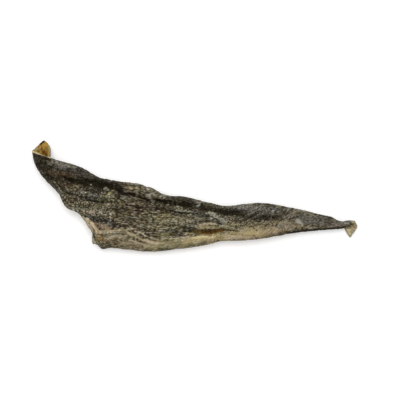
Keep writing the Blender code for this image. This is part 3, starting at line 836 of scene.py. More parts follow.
         (-90, 21.6, 1.8), (-84, 19.8, 1.2)), broken=0.6),
    Mark("cut rim of the tip", Tint.CREAM, 0.9, 0.1, 0.2, ((-114, 31, 0.7), (-110, 29.8, 0.8),
         (-106, 28.6, 0.6), (-101.4, 26.6, 0.5)), broken=0.35, calm=0.6),
    Mark("edge of the cut", Tint.LINEN, 0.9, 0, 0.4, ((-78.6, -14.4, 0.8), (-75.8, -18, 1),
         (-73.2, -21.8, 1.1), (-71.8, -25, 1)), broken=0.4, calm=0.4),
    Mark("edge of the corner", Tint.KHAKI, 0.6, 0, 0.3, ((-72.6, -28.4, 0.8), (-72.4, -30.4, 1),
         (-71, -32.6, 1)), broken=0.4),
    Mark("ground beside the cut", Tint.FAWN, 0.85, 0, 0.8, ((-69.5, -20.4, 1.8), (-65, -21.6, 2.2),
         (-60, -22.4, 1.7)), broken=0.7, calm=0.2),
    Mark("rose cut", Tint.ROSE, 0.92, 0.1, 0.5, ((-75.4, -16, 0.9), (-72.8, -18.8, 1.8),
         (-70.3, -21.6, 2.3), (-68.4, -24, 2.2), (-67, -26.4, 1.8)), broken=0.7),
    Mark("pale line of the rose cut", Tint.CREAM, 0.42, 0.15, 0.2, ((-73, -18, 0.5), (-71, -20.2, 0.9),
         (-69.4, -22.6, 1.1), (-68.4, -25, 0.8)), broken=0.9),
    Mark("first crack of the rose cut", Tint.BARK, 0.45, -0.2, 0.2, ((-74.4, -18.6, 0.3), (-72, -21.4, 0.3),
         (-70.2, -24.4, 0.4))),
    Mark("second crack of the rose cut", Tint.BARK, 0.6, -0.2, 0.3, ((-69, -18.6, 0.4), (-67.6, -21, 0.4),
         (-66.2, -23.8, 0.5))),
    Mark("flecks of the rose cut", Tint.BARK, 0.5, -0.1, 0.4, ((-70.8, -18.4, 0.6), (-68.4, -21, 1.1),
         (-66, -23.4, 0.9))),
    Mark("plum skin over the cut", Tint.FAWN, 0.6, 0, 0.7, ((-78, -11.4, 1), (-75, -10.9, 1.5),
         (-71, -11, 1.1))),
    Mark("tan line", Tint.PARCHMENT, 0.85, 0.25, 0.3, ((-66, -24.7, 0.7), (-61.6, -24.4, 0.8),
         (-56.7, -24.5, 0.7), (-51, -23.9, 0.6), (-45.5, -23.6, 0.6), (-41, -22.9, 0.5)), broken=0.5,
         calm=0.3),
    Mark("branch of the tan line", Tint.PARCHMENT, 0.65, 0.15, 0.3, ((-64, -26.2, 0.7), (-58.6, -25.7, 0.6),
         (-55, -25.9, 0.4)), broken=0.6),
    Mark("cream streak", Tint.CREAM, 0.55, 0.12, 0.2, ((-52.8, -22.9, 0.5), (-50.3, -22.7, 0.4))),
    Mark("tan fold, left", Tint.PARCHMENT, 0.6, 0.25, 0.5, ((-61, -30.4, 0.8), (-57.6, -28.6, 1),
         (-53.6, -28.2, 1), (-49.7, -29.4, 0.7)), broken=0.25, calm=0.2),
    Mark("tan fold, middle", Tint.PARCHMENT, 0.75, 0.25, 0.5, ((-47, -26.2, 0.7), (-43.8, -26.8, 1),
         (-41.4, -27.6, 0.7)), broken=0.25, outline=0.15),
    Mark("tan fold, right", Tint.PARCHMENT, 0.7, 0.25, 0.5, ((-41.4, -25, 0.7), (-38.4, -25.8, 0.9),
         (-36.4, -27, 0.6)), broken=0.25, outline=0.15),
    Mark("straw fold", Tint.PARCHMENT, 0.6, 0.25, 0.5, ((-46, -30.8, 0.6), (-41, -32.6, 0.7),
         (-35.7, -34, 0.6)), broken=0.25),
    Mark("straw fold, right", Tint.PARCHMENT, 0.8, 0.28, 0.5, ((-41, -28.8, 0.5), (-36.4, -30.6, 0.7),
         (-31.5, -32.4, 0.8), (-25, -33.2, 0.6)), broken=0.25),
    Mark("upper fold of the lower roll", Tint.PARCHMENT, 0.6, 0.2, 0.5, ((-35.5, -28, 0.6), (-30, -29, 0.8),
         (-25.6, -31, 0.6)), broken=0.25),
    Mark("fold before the belly", Tint.PARCHMENT, 0.6, 0.15, 0.5, ((-19, -29.6, 0.5), (-12, -29.6, 0.6),
         (-5, -28.6, 0.6)), broken=0.25),
    Mark("ochre corner", Tint.OCHRE, 0.34, 0.1, 1.8, ((-69, -27.8, 1.3), (-66.8, -29.6, 2.2),
         (-64.4, -31.4, 1.8)), broken=0.9, calm=0.3),
    Mark("amber corner", Tint.AMBER, 0.25, 0.1, 1.6, ((-68.4, -27.6, 0.8), (-67, -29.2, 1.2),
         (-65.4, -30.6, 0.8)), broken=0.8),
    Mark("olive foot of the corner", Tint.OLIVE, 0.7, 0, 0.4, ((-69, -32.4, 0.8), (-64, -33.6, 1))),
    Mark("crack over the amber corner", Tint.BARK, 0.6, -0.2, 0.2, ((-70.4, -26.8, 0.5),
         (-67.4, -27.2, 0.6), (-63.4, -28.2, 0.4)), broken=0.5),
    Mark("crack in the amber corner", Tint.CARAMEL, 0.4, -0.15, 0.5, ((-68.6, -28.6, 0.4),
         (-66.2, -29.2, 0.5), (-63.6, -30, 0.4)), broken=0.4),
    Mark("pale corner", Tint.BONE, 0.7, 0, 0.3, ((-71.2, -30.2, 1), (-70.8, -31.4, 1.2), (-70, -32.6, 0.9)),
         broken=0.3),
    # Painted shadow under the pale rim at the corner.
    Mark("painted shadow under the pale rim of the corner", Tint.INK, 0.85, -0.4, 0.1, ((-71.8, -26, 0.5), (-71.2, -27.6, 0.8)), broken=0.2),
    Mark("streak under the round lump", Tint.ASH, 0.5, 0.15, 0.4, ((-24, 0.2, 0.6), (-18, -0.4, 0.6),
         (-12, -0.8, 0.4))),
    Mark("slate roof of the middle", Tint.COAL, 0.85, 0, 0.8, ((-20, -2, 1), (-13, -2.2, 1.4),
         (-7, -2.8, 1.8), (-1, -5, 1.4)), broken=0.4, calm=0.4),
    Mark("pale line of the roof", Tint.ASH, 0.2, 0.15, 0.3, ((-12, -0.7, 0.4), (-7, -1.2, 0.5),
         (-1, -2.6, 0.4))),
    Mark("first streak of the middle", Tint.ASH, 0.6, 0.2, 0.2, ((-14.6, -7.8, 0.6), (-11, -8.1, 0.8),
         (-8.4, -8.5, 0.5)), broken=0.7),
    Mark("second streak of the middle", Tint.ASH, 0.75, 0.2, 0.2, ((-13, -10.3, 0.6), (-8.6, -10.6, 0.8),
         (-4.6, -11, 0.7), (-1, -11, 0.5)), broken=0.7),
    Mark("streak under the second crease", Tint.DUN, 0.6, 0.15, 0.3, ((-38, -12.4, 0.5), (-30, -11.2, 0.7),
         (-24, -11.6, 0.5))),
    Mark("upper bulge of the ridge", Tint.ASH, 0.97, 0.4, 0.15, ((10, -12, 1), (12.4, -12.9, 1.6),
         (15, -14.4, 1.4)), broken=0.1, calm=0.35, outline=0.5),
    Mark("lower bulge of the ridge", Tint.ASH, 0.85, 0.4, 0.15, ((15.4, -14.8, 1.2), (18.4, -16.7, 1.5),
         (21.6, -18.6, 1.1)), broken=0.3, calm=0.35, outline=0.5),
    *RIDGE_BARS,
    Mark("tan skin over the rust crease", Tint.TAN, 0.72, 0.15, 0.4, ((1, -22.4, 0.8), (6, -21.8, 1.2),
         (11, -22, 1.2), (16, -22.4, 0.8)), broken=0.5, calm=0.3),
    Mark("highlight over the rust crease", Tint.PARCHMENT, 0.9, 0.3, 0.2, ((3.5, -20.3, 0.5),
         (8, -19.6, 0.7), (12, -19.6, 0.7), (15.6, -20.2, 0.5)), broken=0.4),
    Mark("stripe past the highlight", Tint.BONE, 0.55, 0.15, 0.2, ((16.6, -20.6, 0.5), (20.3, -20.9, 0.6),
         (24, -21.3, 0.5)), broken=0.5),
    Mark("straw stripe past the highlight", Tint.KHAKI, 0.7, 0.1, 0.2, ((25, -20.2, 0.5),
         (31.5, -20.1, 0.5)), broken=0.5),
    Mark("slope past the highlight", Tint.LINEN, 0.7, 0, 0.6, ((17.6, -21.4, 0.8), (22, -22, 1.6),
         (27.4, -22.8, 1.2))),
    Mark("tan skin before the rust crease", Tint.KHAKI, 0.55, 0, 0.6, ((-19, -22, 1), (-14, -22.4, 1.6),
         (-10.4, -24, 1)), broken=0.6),
    Mark("straw streak", Tint.STRAW, 0.7, 0.1, 0.2, ((-6.3, -26.2, 0.5), (-1.4, -26.3, 0.5))),
    Mark("tan streak of the middle", Tint.TAN, 0.7, 0.1, 0.2, ((-26, -21.5, 0.6), (-22.4, -21.6, 0.5))),
    Mark("pale stripe of the tail", Tint.DUN, 0.6, 0.1, 0.3, ((75.6, -21.7, 0.5), (79.8, -22, 0.6),
         (84.7, -22.4, 0.4)), broken=0.4),
    Mark("grey stripe of the tail", Tint.ASH, 0.35, 0.1, 0.4, ((69, -9.8, 0.8), (75, -11, 1),
         (82, -13, 0.7)), broken=0.5, calm=0.4),
    # Lumps and spots
    Mark("pale lump", Tint.SAGE, 0.9, 0.55, 0.2, ((-62.6, 4.7, 1.5), (-61.4, 4.1, 1.5)), broken=0.3,
         calm=0.3, outline=0.9),
    Mark("spot beside the pale lump", Tint.SMOKE, 0.85, 0.2, 0.3, ((-58, 4, 1), (-55, 2.8, 1.2),
         (-53.6, 1.4, 0.8))),
    Mark("yellow fold", Tint.LICHEN, 0.85, 0.2, 0.2, ((-62, -0.4, 0.5), (-60.2, 1.4, 0.7), (-58, 2.9, 0.7)),
         broken=0.4),
    Mark("second yellow fold", Tint.LICHEN, 0.2, 0.2, 0.2, ((-58.6, -2.8, 0.5), (-56.6, -0.4, 0.6),
         (-54, 1, 0.5)), broken=0.6),
    Mark("curl of the olive field", Tint.KHAKI, 0.65, 0.25, 0.2, ((-52, -3, 0.6), (-49.4, -2.4, 0.7),
         (-48, -4.6, 0.7), (-50.6, -6.4, 0.6)), outline=0.3),
    Mark("grey patch of the olive field", Tint.STEEL, 0.6, 0.1, 0.6, ((-51, -0.8, 1.2), (-48, -2, 1.7),
         (-45, -2.6, 1.2)), broken=0.5),
    Mark("grey patch of the low field", Tint.ASH, 0.6, 0.1, 0.6, ((-66, -10.8, 1.6), (-62.4, -11.8, 2.2),
         (-57, -13, 1.6)), broken=0.5),
    Mark("grey patch over the low field", Tint.STEEL, 0.5, 0.1, 0.6, ((-73, 0.8, 1.1), (-69.6, 0, 1.8),
         (-66, -0.8, 1.1)), broken=0.5),
    Mark("rosy spot of the olive field", Tint.FAWN, 0.7, 0.2, 0.3, ((-63, -5.8, 0.8), (-60, -5.8, 0.8))),
    Mark("olive roof", Tint.DUN, 0.25, 0.1, 0.9, ((-50.4, 6.8, 1.6), (-45, 5.6, 2.2), (-38.5, 4.2, 2.2),
         (-33, 2.4, 1.5)), broken=0.6, calm=0.2),
    Mark("yellow roof spot", Tint.LICHEN, 0.5, 0.25, 0.3, ((-46.6, 5.8, 1), (-44.6, 5, 1)), broken=0.4),
    Mark("pale roof spot", Tint.PARCHMENT, 0.3, 0.3, 0.4, ((-41.6, 5.6, 0.9), (-39.4, 5.2, 1.2),
         (-37.4, 3.8, 0.8)), broken=0.6, outline=0.4),
    Mark("bump of the top rim", Tint.ASH, 0.4, 0.7, 0.2, ((-41.6, 7.6, 1), (-39.4, 7.4, 1)), outline=0.3),
    Mark("round lump", Tint.SAGE, 0.88, 0.8, 0.2, ((-33, 0.2, 1.9), (-31.6, -0.5, 2)), broken=0.3,
         calm=0.25, outline=0.8),
    Mark("small lump", Tint.SAGE, 0.85, 0.6, 0.2, ((-30, -3.4, 1.5), (-28.8, -3.7, 1.4)), broken=0.3,
         outline=0.7),
    Mark("side lump", Tint.DRAB, 0.8, 0.4, 0.3, ((-28.6, 1.2, 1.4), (-27, 0.2, 1.3)), broken=0.4,
         outline=0.4),
    Mark("first lump of the middle", Tint.KHAKI, 0.65, 0.35, 0.4, ((-29.4, -14.4, 1.3), (-27.8, -15, 1.3)),
         broken=0.6, outline=0.3),
    Mark("second lump of the middle", Tint.KHAKI, 0.6, 0.35, 0.4, ((-23.4, -13.2, 1.4), (-21, -13.8, 1.4)),
         broken=0.6, outline=0.3),
    Mark("pale dots of the left field", Tint.SAGE, 0.55, 0.3, 0.3, ((-79.4, 3.4, 0.9), (-77, 2.4, 1.1),
         (-74.6, 1.8, 0.8)), broken=0.7),
    Mark("rosy dots of the plum patch", Tint.FAWN, 0.4, 0.2, 0.4, ((-90.4, 6.4, 0.5), (-89, 4.6, 0.5))),
    Mark("second rosy dots of the plum patch", Tint.FAWN, 0.35, 0.2, 0.5, ((-85.6, 6, 0.8),
         (-83.6, 4.6, 0.9))),
    Mark("pale dot of the main crease", Tint.BONE, 0.85, 0.2, 0.1, ((-72.9, 7.6, 0.42), (-72.5, 7.3, 0.42)),
         broken=0),
    Mark("pale dot under the tip's crease", Tint.BONE, 0.5, 0.2, 0.1, ((-98.2, 9.5, 0.42),
         (-97.5, 9, 0.42)), broken=0),
    Mark("pale curl", Tint.ASH, 0.65, 0.2, 0.4, ((-67.4, -10, 0.6), (-65, -8.6, 0.6), (-62, -9.4, 0.6),
         (-63.4, -11.8, 0.6)), outline=0.3),
    Mark("pale scale", Tint.STEEL, 0.9, 0.3, 0.1, ((1.6, -7.4, 0.9), (3, -6.4, 0.9)), broken=0.1, calm=0.6,
         outline=0.7),
    Mark("cream spot of the rim", Tint.BONE, 0.8, 0.1, 0.2, ((57, -6.8, 0.5), (61.2, -7.2, 0.6)),
         broken=0.3),
    Mark("pale patch of the tail", Tint.BONE, 0.6, 0.1, 0.8, ((71, -16.7, 1), (72.4, -18, 1.5),
         (74.2, -19.4, 1)), broken=0.6),
    Mark("ochre spot of the tail fan", Tint.OCHRE, 0.7, 0.1, 0.1, ((110.6, -18.8, 0.5), (112, -18.6, 0.5)),
         broken=0.2),
)

FLESH_MARKS = (
    Mark("straw wall of the tip", Tint.STRAW, 0.8, 0, 0.3, ((-113.4, 31.7, 1.2), (-110.6, 32.7, 1.4),
         (-108.5, 33.7, 1.1))),
    Mark("olive stroke of the tip", Tint.OLIVE, 0.5, -0.1, 0.3, ((-111.4, 31, 0.5), (-109, 32.4, 0.6),
         (-107.6, 33.8, 0.5))),
    Mark("honey wall of the tip", Tint.HONEY, 0.8, 0, 0.4, ((-105.7, 34, 1.4), (-104.4, 32, 1.8),
         (-104.7, 30.2, 1.3))),
    Mark("brown hollow of the tip", Tint.CARAMEL, 0.95, 0, 0.3, ((-104.6, 31, 0.8), (-103.4, 29.8, 1.3),
         (-102.6, 28.6, 1.5), (-102, 27.6, 1.2))),
    Mark("ochre edge of the tip", Tint.OLIVE, 0.6, 0, 0.2, ((-102, 33, 0.6), (-101.2, 30.6, 0.7),
         (-101, 27, 0.6))),
    Mark("brown fold of the tip", Tint.CARAMEL, 0.95, -0.3, 0.1, ((-107.9, 36, 0.5), (-107.4, 33.4, 0.7),
         (-106.4, 31.4, 0.7), (-104.6, 29.6, 0.6)), broken=0.3),
    Mark("dark crown of the tip", Tint.INK, 0.97, 0, 0.2, ((-108.4, 36.4, 0.6), (-107, 37.5, 0.9),
         (-105.8, 38, 0.7)), broken=0.2),
    Mark("pale middle of the tail fan", Tint.CREAM, 0.6, 0, 0.3, ((107, -23.6, 0.9), (108.6, -25, 1.1),
         (109, -27, 0.7)), broken=0.4),
    Mark("dark fold of the tail", Tint.UMBER, 0.85, -0.15, 0.2, ((104.6, -22.8, 0.5), (107.6, -22, 0.7),
         (110.6, -20.6, 0.7))),
    Mark("ochre spot of the tail", Tint.OCHRE, 0.7, 0, 0.1, ((110, -21.6, 0.6), (111, -21, 0.6)),
         broken=0.2),
    Mark("grey edge of the tail fan", Tint.DUN, 0.6, 0, 0.2, ((110.4, -25, 0.7), (112.4, -22, 0.9),
         (113, -19.6, 0.8))),
)


@dataclass(frozen=True)
class SkinPattern:
    """Folds, scales and specks of the dried skin, and its colours, before and under the marks.

    All lengths are in millimetres on the unrolled sheet. Each height is half the swing of its
    relief, each tone is in steps of 255 on the screen, and each calm is the share of the pattern
    that goes where the skin is pale, is dark or turns to the side. The tones of the folds, ridges
    and curls follow their relief: painted shade in the valleys, painted highlight on the swellings.
    """

    ground: Tint = Tint.UMBER
    fan: Fan = Fan()
    seed: int = 20
    fold_size: Size = (30.0, 4.6)
    fold_valley: float = 0.28
    fold_height: float = 0.28
    fold_shade_and_highlight: float = 20.0
    ridge_size: Size = (10.0, 1.5)
    ridge_valley: float = 0.3
    ridge_height: float = 0.16
    ridge_shade_and_highlight: float = 25.0
    curl_size: Size = (4.2, 2.4)
    curl_valley: float = 0.25
    curl_shade_and_highlight: float = 17.0
    swell_top: float = 0.4
    scale_size: Size = (1.5, 1.35)
    scale_turn: float = np.radians(35)
    scale_jitter: float = 0.3
    scale_slope: float = 2.6
    scale_height: float = 0.12
    scale_tone: float = 15.0
    speck_size: Size = (1.1, 0.6)
    speck_height: float = 0.08
    speck_tone: float = 28.0
    cloud_size: Size = (13.0, 5.0)
    cloud_tone: float = 14.0
    stray_size: Size = (2.6, 2.6)
    gap_size: Size = (1.6, 1.0)
    long_gap_size: Size = (4.0, 1.6)
    long_gap_share: float = 0.6
    fleck_level: float = 0.3
    fleck_swing: float = -0.5
    brokenness: float = 1.1
    light_slope: float = 6.0
    pale_from: float = 0.35
    pale_calm: float = 0.5
    pale_speck_calm: float = 0.55
    dark_from: float = 0.24
    dark_speck_calm: float = 0.4
    side_from: float = 0.6
    side_calm: float = 0.35
    tone_hue: Triple = TONE_HUE
    hue_size: Size = (6.0, 3.0)
    rose_hue: Triple = (2.2, -0.7, 0.0)
    yellow_hue: Triple = (0.7, 0.7, -2.0)
    steady_hue: Triple = (-0.5, 0.8, 0.1)
    lowest_share: float = 0.66
    darkest: Triple = (13.0, 10.0, 5.0)
    lane_width: float = 49.0
    wander: Size = (3.0, 1.1)
    wander_along_size: Size = (16.0, 16.0)
    wander_across_size: Size = (17.0, 8.0)
    plain_from: float = 30.0
    plain_length: float = 50.0
    grain_run: Pairs = ((-140, -140), (-58, -58), (-50, -54), (-10, -34), (5, -24), (30, 0), (60, 30),
                        (75, 40), (150, 77))

    def noise(self, p: Array, q: Array, size: Size, kind: Noise) -> Array:
        """One of the skin's noises, with grains of the given size along and across."""
        return soft_noise(p / size[0], q / size[1], self.seed + kind)

    def swell(self, p: Array, q: Array, size: Size, kind: Noise, valley: float) -> Array:
        """Swellings between narrow valleys, which are bells of a noise round its zeros."""
        return self.swell_top - np.exp(-((self.noise(p, q, size, kind) / valley) ** 2))

    def stray(self, x: Array, y: Array) -> tuple[Array, Array]:
        """Two noises by which the borders of the marks stray."""
        kinds = (Noise.STRAY_ALONG, Noise.STRAY_ACROSS)
        return tuple(self.noise(x, y, self.stray_size, kind) for kind in kinds)

    def lanes(self, s: Array, t: Array) -> tuple[Array, Array]:
        """Coordinates along and across the wrinkles: the fan's, then straight towards the tail.

        Both wander a little, so that no wrinkle runs quite straight.

        Args:
            s: places along the unrolled sheet.
            t: places across it.

        Returns:
            The coordinate along the wrinkles and the one across them.
        """
        straight = ease((s - self.plain_from) / self.plain_length)
        lane = (1 - straight) * self.fan.across(s, t) * self.lane_width + straight * t
        along = s + self.wander[0] * self.noise(s, t, self.wander_along_size, Noise.WANDER_ALONG)
        sway = self.noise(s, t, self.wander_across_size, Noise.WANDER_ACROSS)
        return along, lane + self.wander[1] * sway

    def grain_map(self, s: Array, t: Array) -> Array:
        """Map of the grain: the lanes, drawn together along the strip where the grain runs long."""
        along, lane = self.lanes(s, t)
        return np.dstack((profile(self.grain_run, along), lane))

    def texture(self, sample: SheetSample) -> tuple[Array, Array]:
        """Folds, ridges, curls, scales, specks and clouds of the unrolled sheet.

        Folds, ridges and curls are swellings of three sizes along the wrinkles, and their tones are
        painted shade in the valleys and painted highlight on the swellings. Scales are low domes,
        highest in the middle of their cells, each with its own shade.

        Args:
            sample: the skin.

        Returns:
            The relief in millimetres and the tone in screen steps.
        """
        s, t = sample.flat
        lanes = self.lanes(s, t)
        fold = self.swell(*lanes, self.fold_size, Noise.FOLD, self.fold_valley)
        ridge = self.swell(*lanes, self.ridge_size, Noise.RIDGE, self.ridge_valley)
        curl = self.swell(*lanes, self.curl_size, Noise.CURL, self.curl_valley)
        turn = self.scale_turn
        p = (s * np.cos(turn) - t * np.sin(turn)) / self.scale_size[0]
        q = (s * np.sin(turn) + t * np.cos(turn)) / self.scale_size[1]
        gap, own = scale_cells(p, q, self.seed + Noise.SCALE, self.scale_jitter)
        dome = 1 - self.scale_slope * gap
        speck = self.noise(*lanes, self.speck_size, Noise.SPECK)
        cloud = self.noise(s, t, self.cloud_size, Noise.CLOUD)
        relief = self.fold_height * fold + self.ridge_height * (ridge + curl)
        relief += self.scale_height * dome + self.speck_height * speck
        # Painted shade in the valleys of the folds, ridges and curls, and painted highlight on their
        # swellings.
        tone = self.fold_shade_and_highlight * fold + self.ridge_shade_and_highlight * ridge + self.curl_shade_and_highlight * curl
        tone += self.scale_tone * (dome + own) + self.speck_tone * speck
        return relief, tone + self.cloud_tone * cloud

    def brush(self, plan: tuple[Array, Array], marks: tuple[Mark, ...], ground: Array,
              shown: Array) -> tuple[Array, Array, Array]:
        """Lay the marks over a ground, in their order.

        Args:
            plan: the points' plan coordinates in millimetres.
            marks: the marks to lay.
            ground: the colour below them at each point.
            shown: share of each mark that a point can take.

        Returns:
            The colour, the added height and the share of the pattern left at each point.
        """
        x, y = plan
        stray = self.stray(x, y)
        gap = self.noise(x, y, self.gap_size, Noise.GAP)
        gap += self.long_gap_share * self.noise(x, y, self.long_gap_size, Noise.LONG_GAP)
        fleck = self.brokenness * (self.fleck_level + self.fleck_swing * gap)
        height, calm = np.zeros(x.shape), np.zeros(x.shape)
        colour = ground
        for mark in marks:
            LOG.debug("brushing the %s", mark.name)
            cover = mark.cover(x, y, stray) * shown
            bite = mark.broken * fleck
            share = (np.clip(cover * (1 + bite) - bite * (cover > 0), 0, 1) * mark.strength)[..., None]
            # Painted shade: a dark ring round a raised mark that has an outline.
            ring = (4 * cover * (1 - cover) * mark.outline)[..., None]
            colour = colour * (1 - ring) + Tint.INK.screen * ring
            colour = colour * (1 - share) + mark.tint.screen * share
            height += mark.height * cover
            calm = np.maximum(calm, mark.calm * cover)
        return colour, height, 1 - calm

    def dress(self, sample: SheetSample) -> tuple[Array, Array]:
        """The whole skin: its marks over the ground, then the pattern's tones and slow hues.

        Args:
            sample: the skin.

        Returns:
            The relief in millimetres, and the colour with the strength of its specks.
        """
        relief, tone = self.texture(sample)
        ground = np.broadcast_to(self.ground.screen, sample.points.shape)
        colour, height, left = self.brush(sample.unfolded, SKIN_MARKS, ground, sample.top_side)
        left = left * (1 - self.side_calm * ease(self.side_from - np.cos(sample.angle)))
        light = colour.mean(axis=-1)
        pale = ease((light - self.pale_from) * self.light_slope)
        dark = ease((self.dark_from - light) * self.light_slope)
        step = (tone * left * (1 - self.pale_calm * pale) / SCREEN_STEPS)[..., None]
        toned = colour + step * np.array(self.tone_hue)
        colour = np.maximum(toned, self.lowest_share * colour) + self.hues(sample) * left[..., None]
        colour = np.clip(colour, np.array(self.darkest) / SCREEN_STEPS, 1.0)
        specks = left * (1 - self.pale_speck_calm * pale - self.dark_speck_calm * dark)
        return relief + height, np.dstack((colour, specks))

    def hues(self, sample: SheetSample) -> Array:
        """Changes of hue: a steady one, and slow noises from green to rose and blue to yellow."""
        rose, yellow = (self.noise(*sample.flat, self.hue_size, kind)[..., None] * np.array(hue) for
                        kind, hue in ((Noise.ROSE, self.rose_hue), (Noise.YELLOW, self.yellow_hue)))
        return (rose + yellow + self.steady_hue) / SCREEN_STEPS


@dataclass(frozen=True)
class FleshPattern:
    """Fibres and flakes of the dried flesh on the inner side of the sheet."""

    wall: Tint = Tint.HONEY
    middle: Tint = Tint.TAN
    tail: Tint = Tint.LINEN
    darkest: float = 0.05
    tip_ends: Size = (-96.0, -84.0)
    tail_starts: Size = (60.0, 100.0)
    seed: int = 60
    middle_line: Pairs = ((-110, 5), (-50, -15), (110, -20))
    flake_step: float = 6.5
    flake_slope: float = 0.7
    flake_bend: float = 1.6
    bend_size: Size = (9.0, 7.0)
    seam_width: float = 0.7
    flake_height: float = 0.26
    flake_tone: float = 30.0
    fibre_size: Size = (7.0, 0.9)
    fibre_height: float = 0.10
    fibre_tone: float = 16.0
    cloud_size: Size = (11.0, 8.0)
    inner_slope: float = 3.0

    def texture(self, sample: SheetSample) -> tuple[Array, Array]:
        """Flakes and fibres of the unrolled sheet.

        Flakes are bands that run in a flat V across the strip, sunk along their borders, and
        fibres are a fine noise stretched along the strip.

        Args:
            sample: the flesh side.

        Returns:
            The relief in millimetres and the tone in screen steps.
        """
        s, t = sample.flat
        sizes = (self.bend_size, self.fibre_size, self.cloud_size)
        bend, fibre, cloud = (soft_noise(s / size[0], t / size[1], self.seed + n)
                              for n, size in enumerate(sizes))
        from_middle = np.abs(t - np.interp(s, *zip(*self.middle_line)))
        band = (s + self.flake_slope * from_middle + self.flake_bend * bend) / self.flake_step
        seam = np.exp(-((np.abs(band - np.round(band)) * self.flake_step / self.seam_width) ** 2))
        relief = self.fibre_height * fibre - self.flake_height * seam
        return relief, self.fibre_tone * (fibre + cloud) - self.flake_tone * seam

    def dress(self, sample: SheetSample, pattern: SkinPattern) -> tuple[Array, Array]:
        """The whole flesh side: three grounds along the strip, its marks and its tones.

        Args:
            sample: the flesh side.
            pattern: the skin's pattern, which lays the marks.

        Returns:
            The relief in millimetres, and the colour with the strength of its specks.
        """
        relief, tone = self.texture(sample)
        x, y = sample.points[..., 0], sample.points[..., 1]
        tip = ease((self.tip_ends[1] - x) / (self.tip_ends[1] - self.tip_ends[0]))[..., None]
        tail = ease((x - self.tail_starts[0]) / (self.tail_starts[1] - self.tail_starts[0]))[..., None]
        ground = self.middle.screen * (1 - tip) * (1 - tail)
        ground = ground + self.wall.screen * tip + self.tail.screen * tail
        shown = ease(-np.cos(sample.angle) * self.inner_slope)
        colour, height, _ = pattern.brush((x, y), FLESH_MARKS, ground, shown)
        colour = np.clip(colour + (tone / SCREEN_STEPS)[..., None], self.darkest, 1.0)
        return relief + height, np.dstack((colour, np.ones(tone.shape)))


class NodeTree:
    """A material's nodes, added and joined by short calls."""

    def __init__(self, name: str) -> None:
        """Start a material with a Principled shader.

        Args:
            name: the material's name.
        """
        self.material = bpy.data.materials.new(name)
        self.material.use_nodes = True
        self.tree = self.material.node_tree
        self.shader = self.tree.nodes["Principled BSDF"]

    def feed(self, node: bpy.types.Node, inputs: Sockets) -> None:
        """Fill sockets of a node, each by a link from another node's output or by a value.

        Args:
            node: the node.
            inputs: the outputs and values, by the socket's name or place.
        """
        for key, value in inputs.items():
            if isinstance(value, bpy.types.NodeSocket):
                self.tree.links.new(value, node.inputs[key])
            else:
                node.inputs[key].default_value = value

    def add(self, kind: str, output: str, inputs: Sockets, **settings: object) -> bpy.types.NodeSocket:
        """Add a node.

        Args:
            kind: the node's type, without its first words ShaderNode.
            output: the output that is wanted.
            inputs: what goes into its sockets, as feed takes it.
            settings: the node's own settings.

        Returns:
            The wanted output.
        """
        node = self.tree.nodes.new("ShaderNode" + kind)
        for key, value in settings.items():
            setattr(node, key, value)
        self.feed(node, inputs)
        return node.outputs[output]

    def math(self, operation: str, *values: object) -> bpy.types.NodeSocket:
        """The result of one calculation with numbers."""
        return self.add("Math", "Value", dict(enumerate(values)), operation=operation)

    def vector_math(self, operation: str, *values: object) -> bpy.types.NodeSocket:
        """The result of one calculation with vectors or colours."""
        return self.add("VectorMath", "Vector", dict(enumerate(values)), operation=operation)

    def ramp(self, value: object, source: Size, goal: Size, clamp: bool = True) -> bpy.types.NodeSocket:
        """A value carried from one range to another, in a straight line."""
        ends = {"From Min": source[0], "From Max": source[1], "To Min": goal[0], "To Max": goal[1]}
        return self.add("MapRange", "Result", {"Value": value, **ends}, clamp=clamp)

    def scaled(self, vector: object, size: Size, turn: float = 0.0) -> bpy.types.NodeSocket:
        """A map scaled so that a step of the given size becomes one, and then turned."""
        change = {"Rotation": (0.0, 0.0, turn), "Scale": (1 / size[0], 1 / size[1], 1.0)}
        return self.add("Mapping", "Vector", {"Vector": vector, **change})


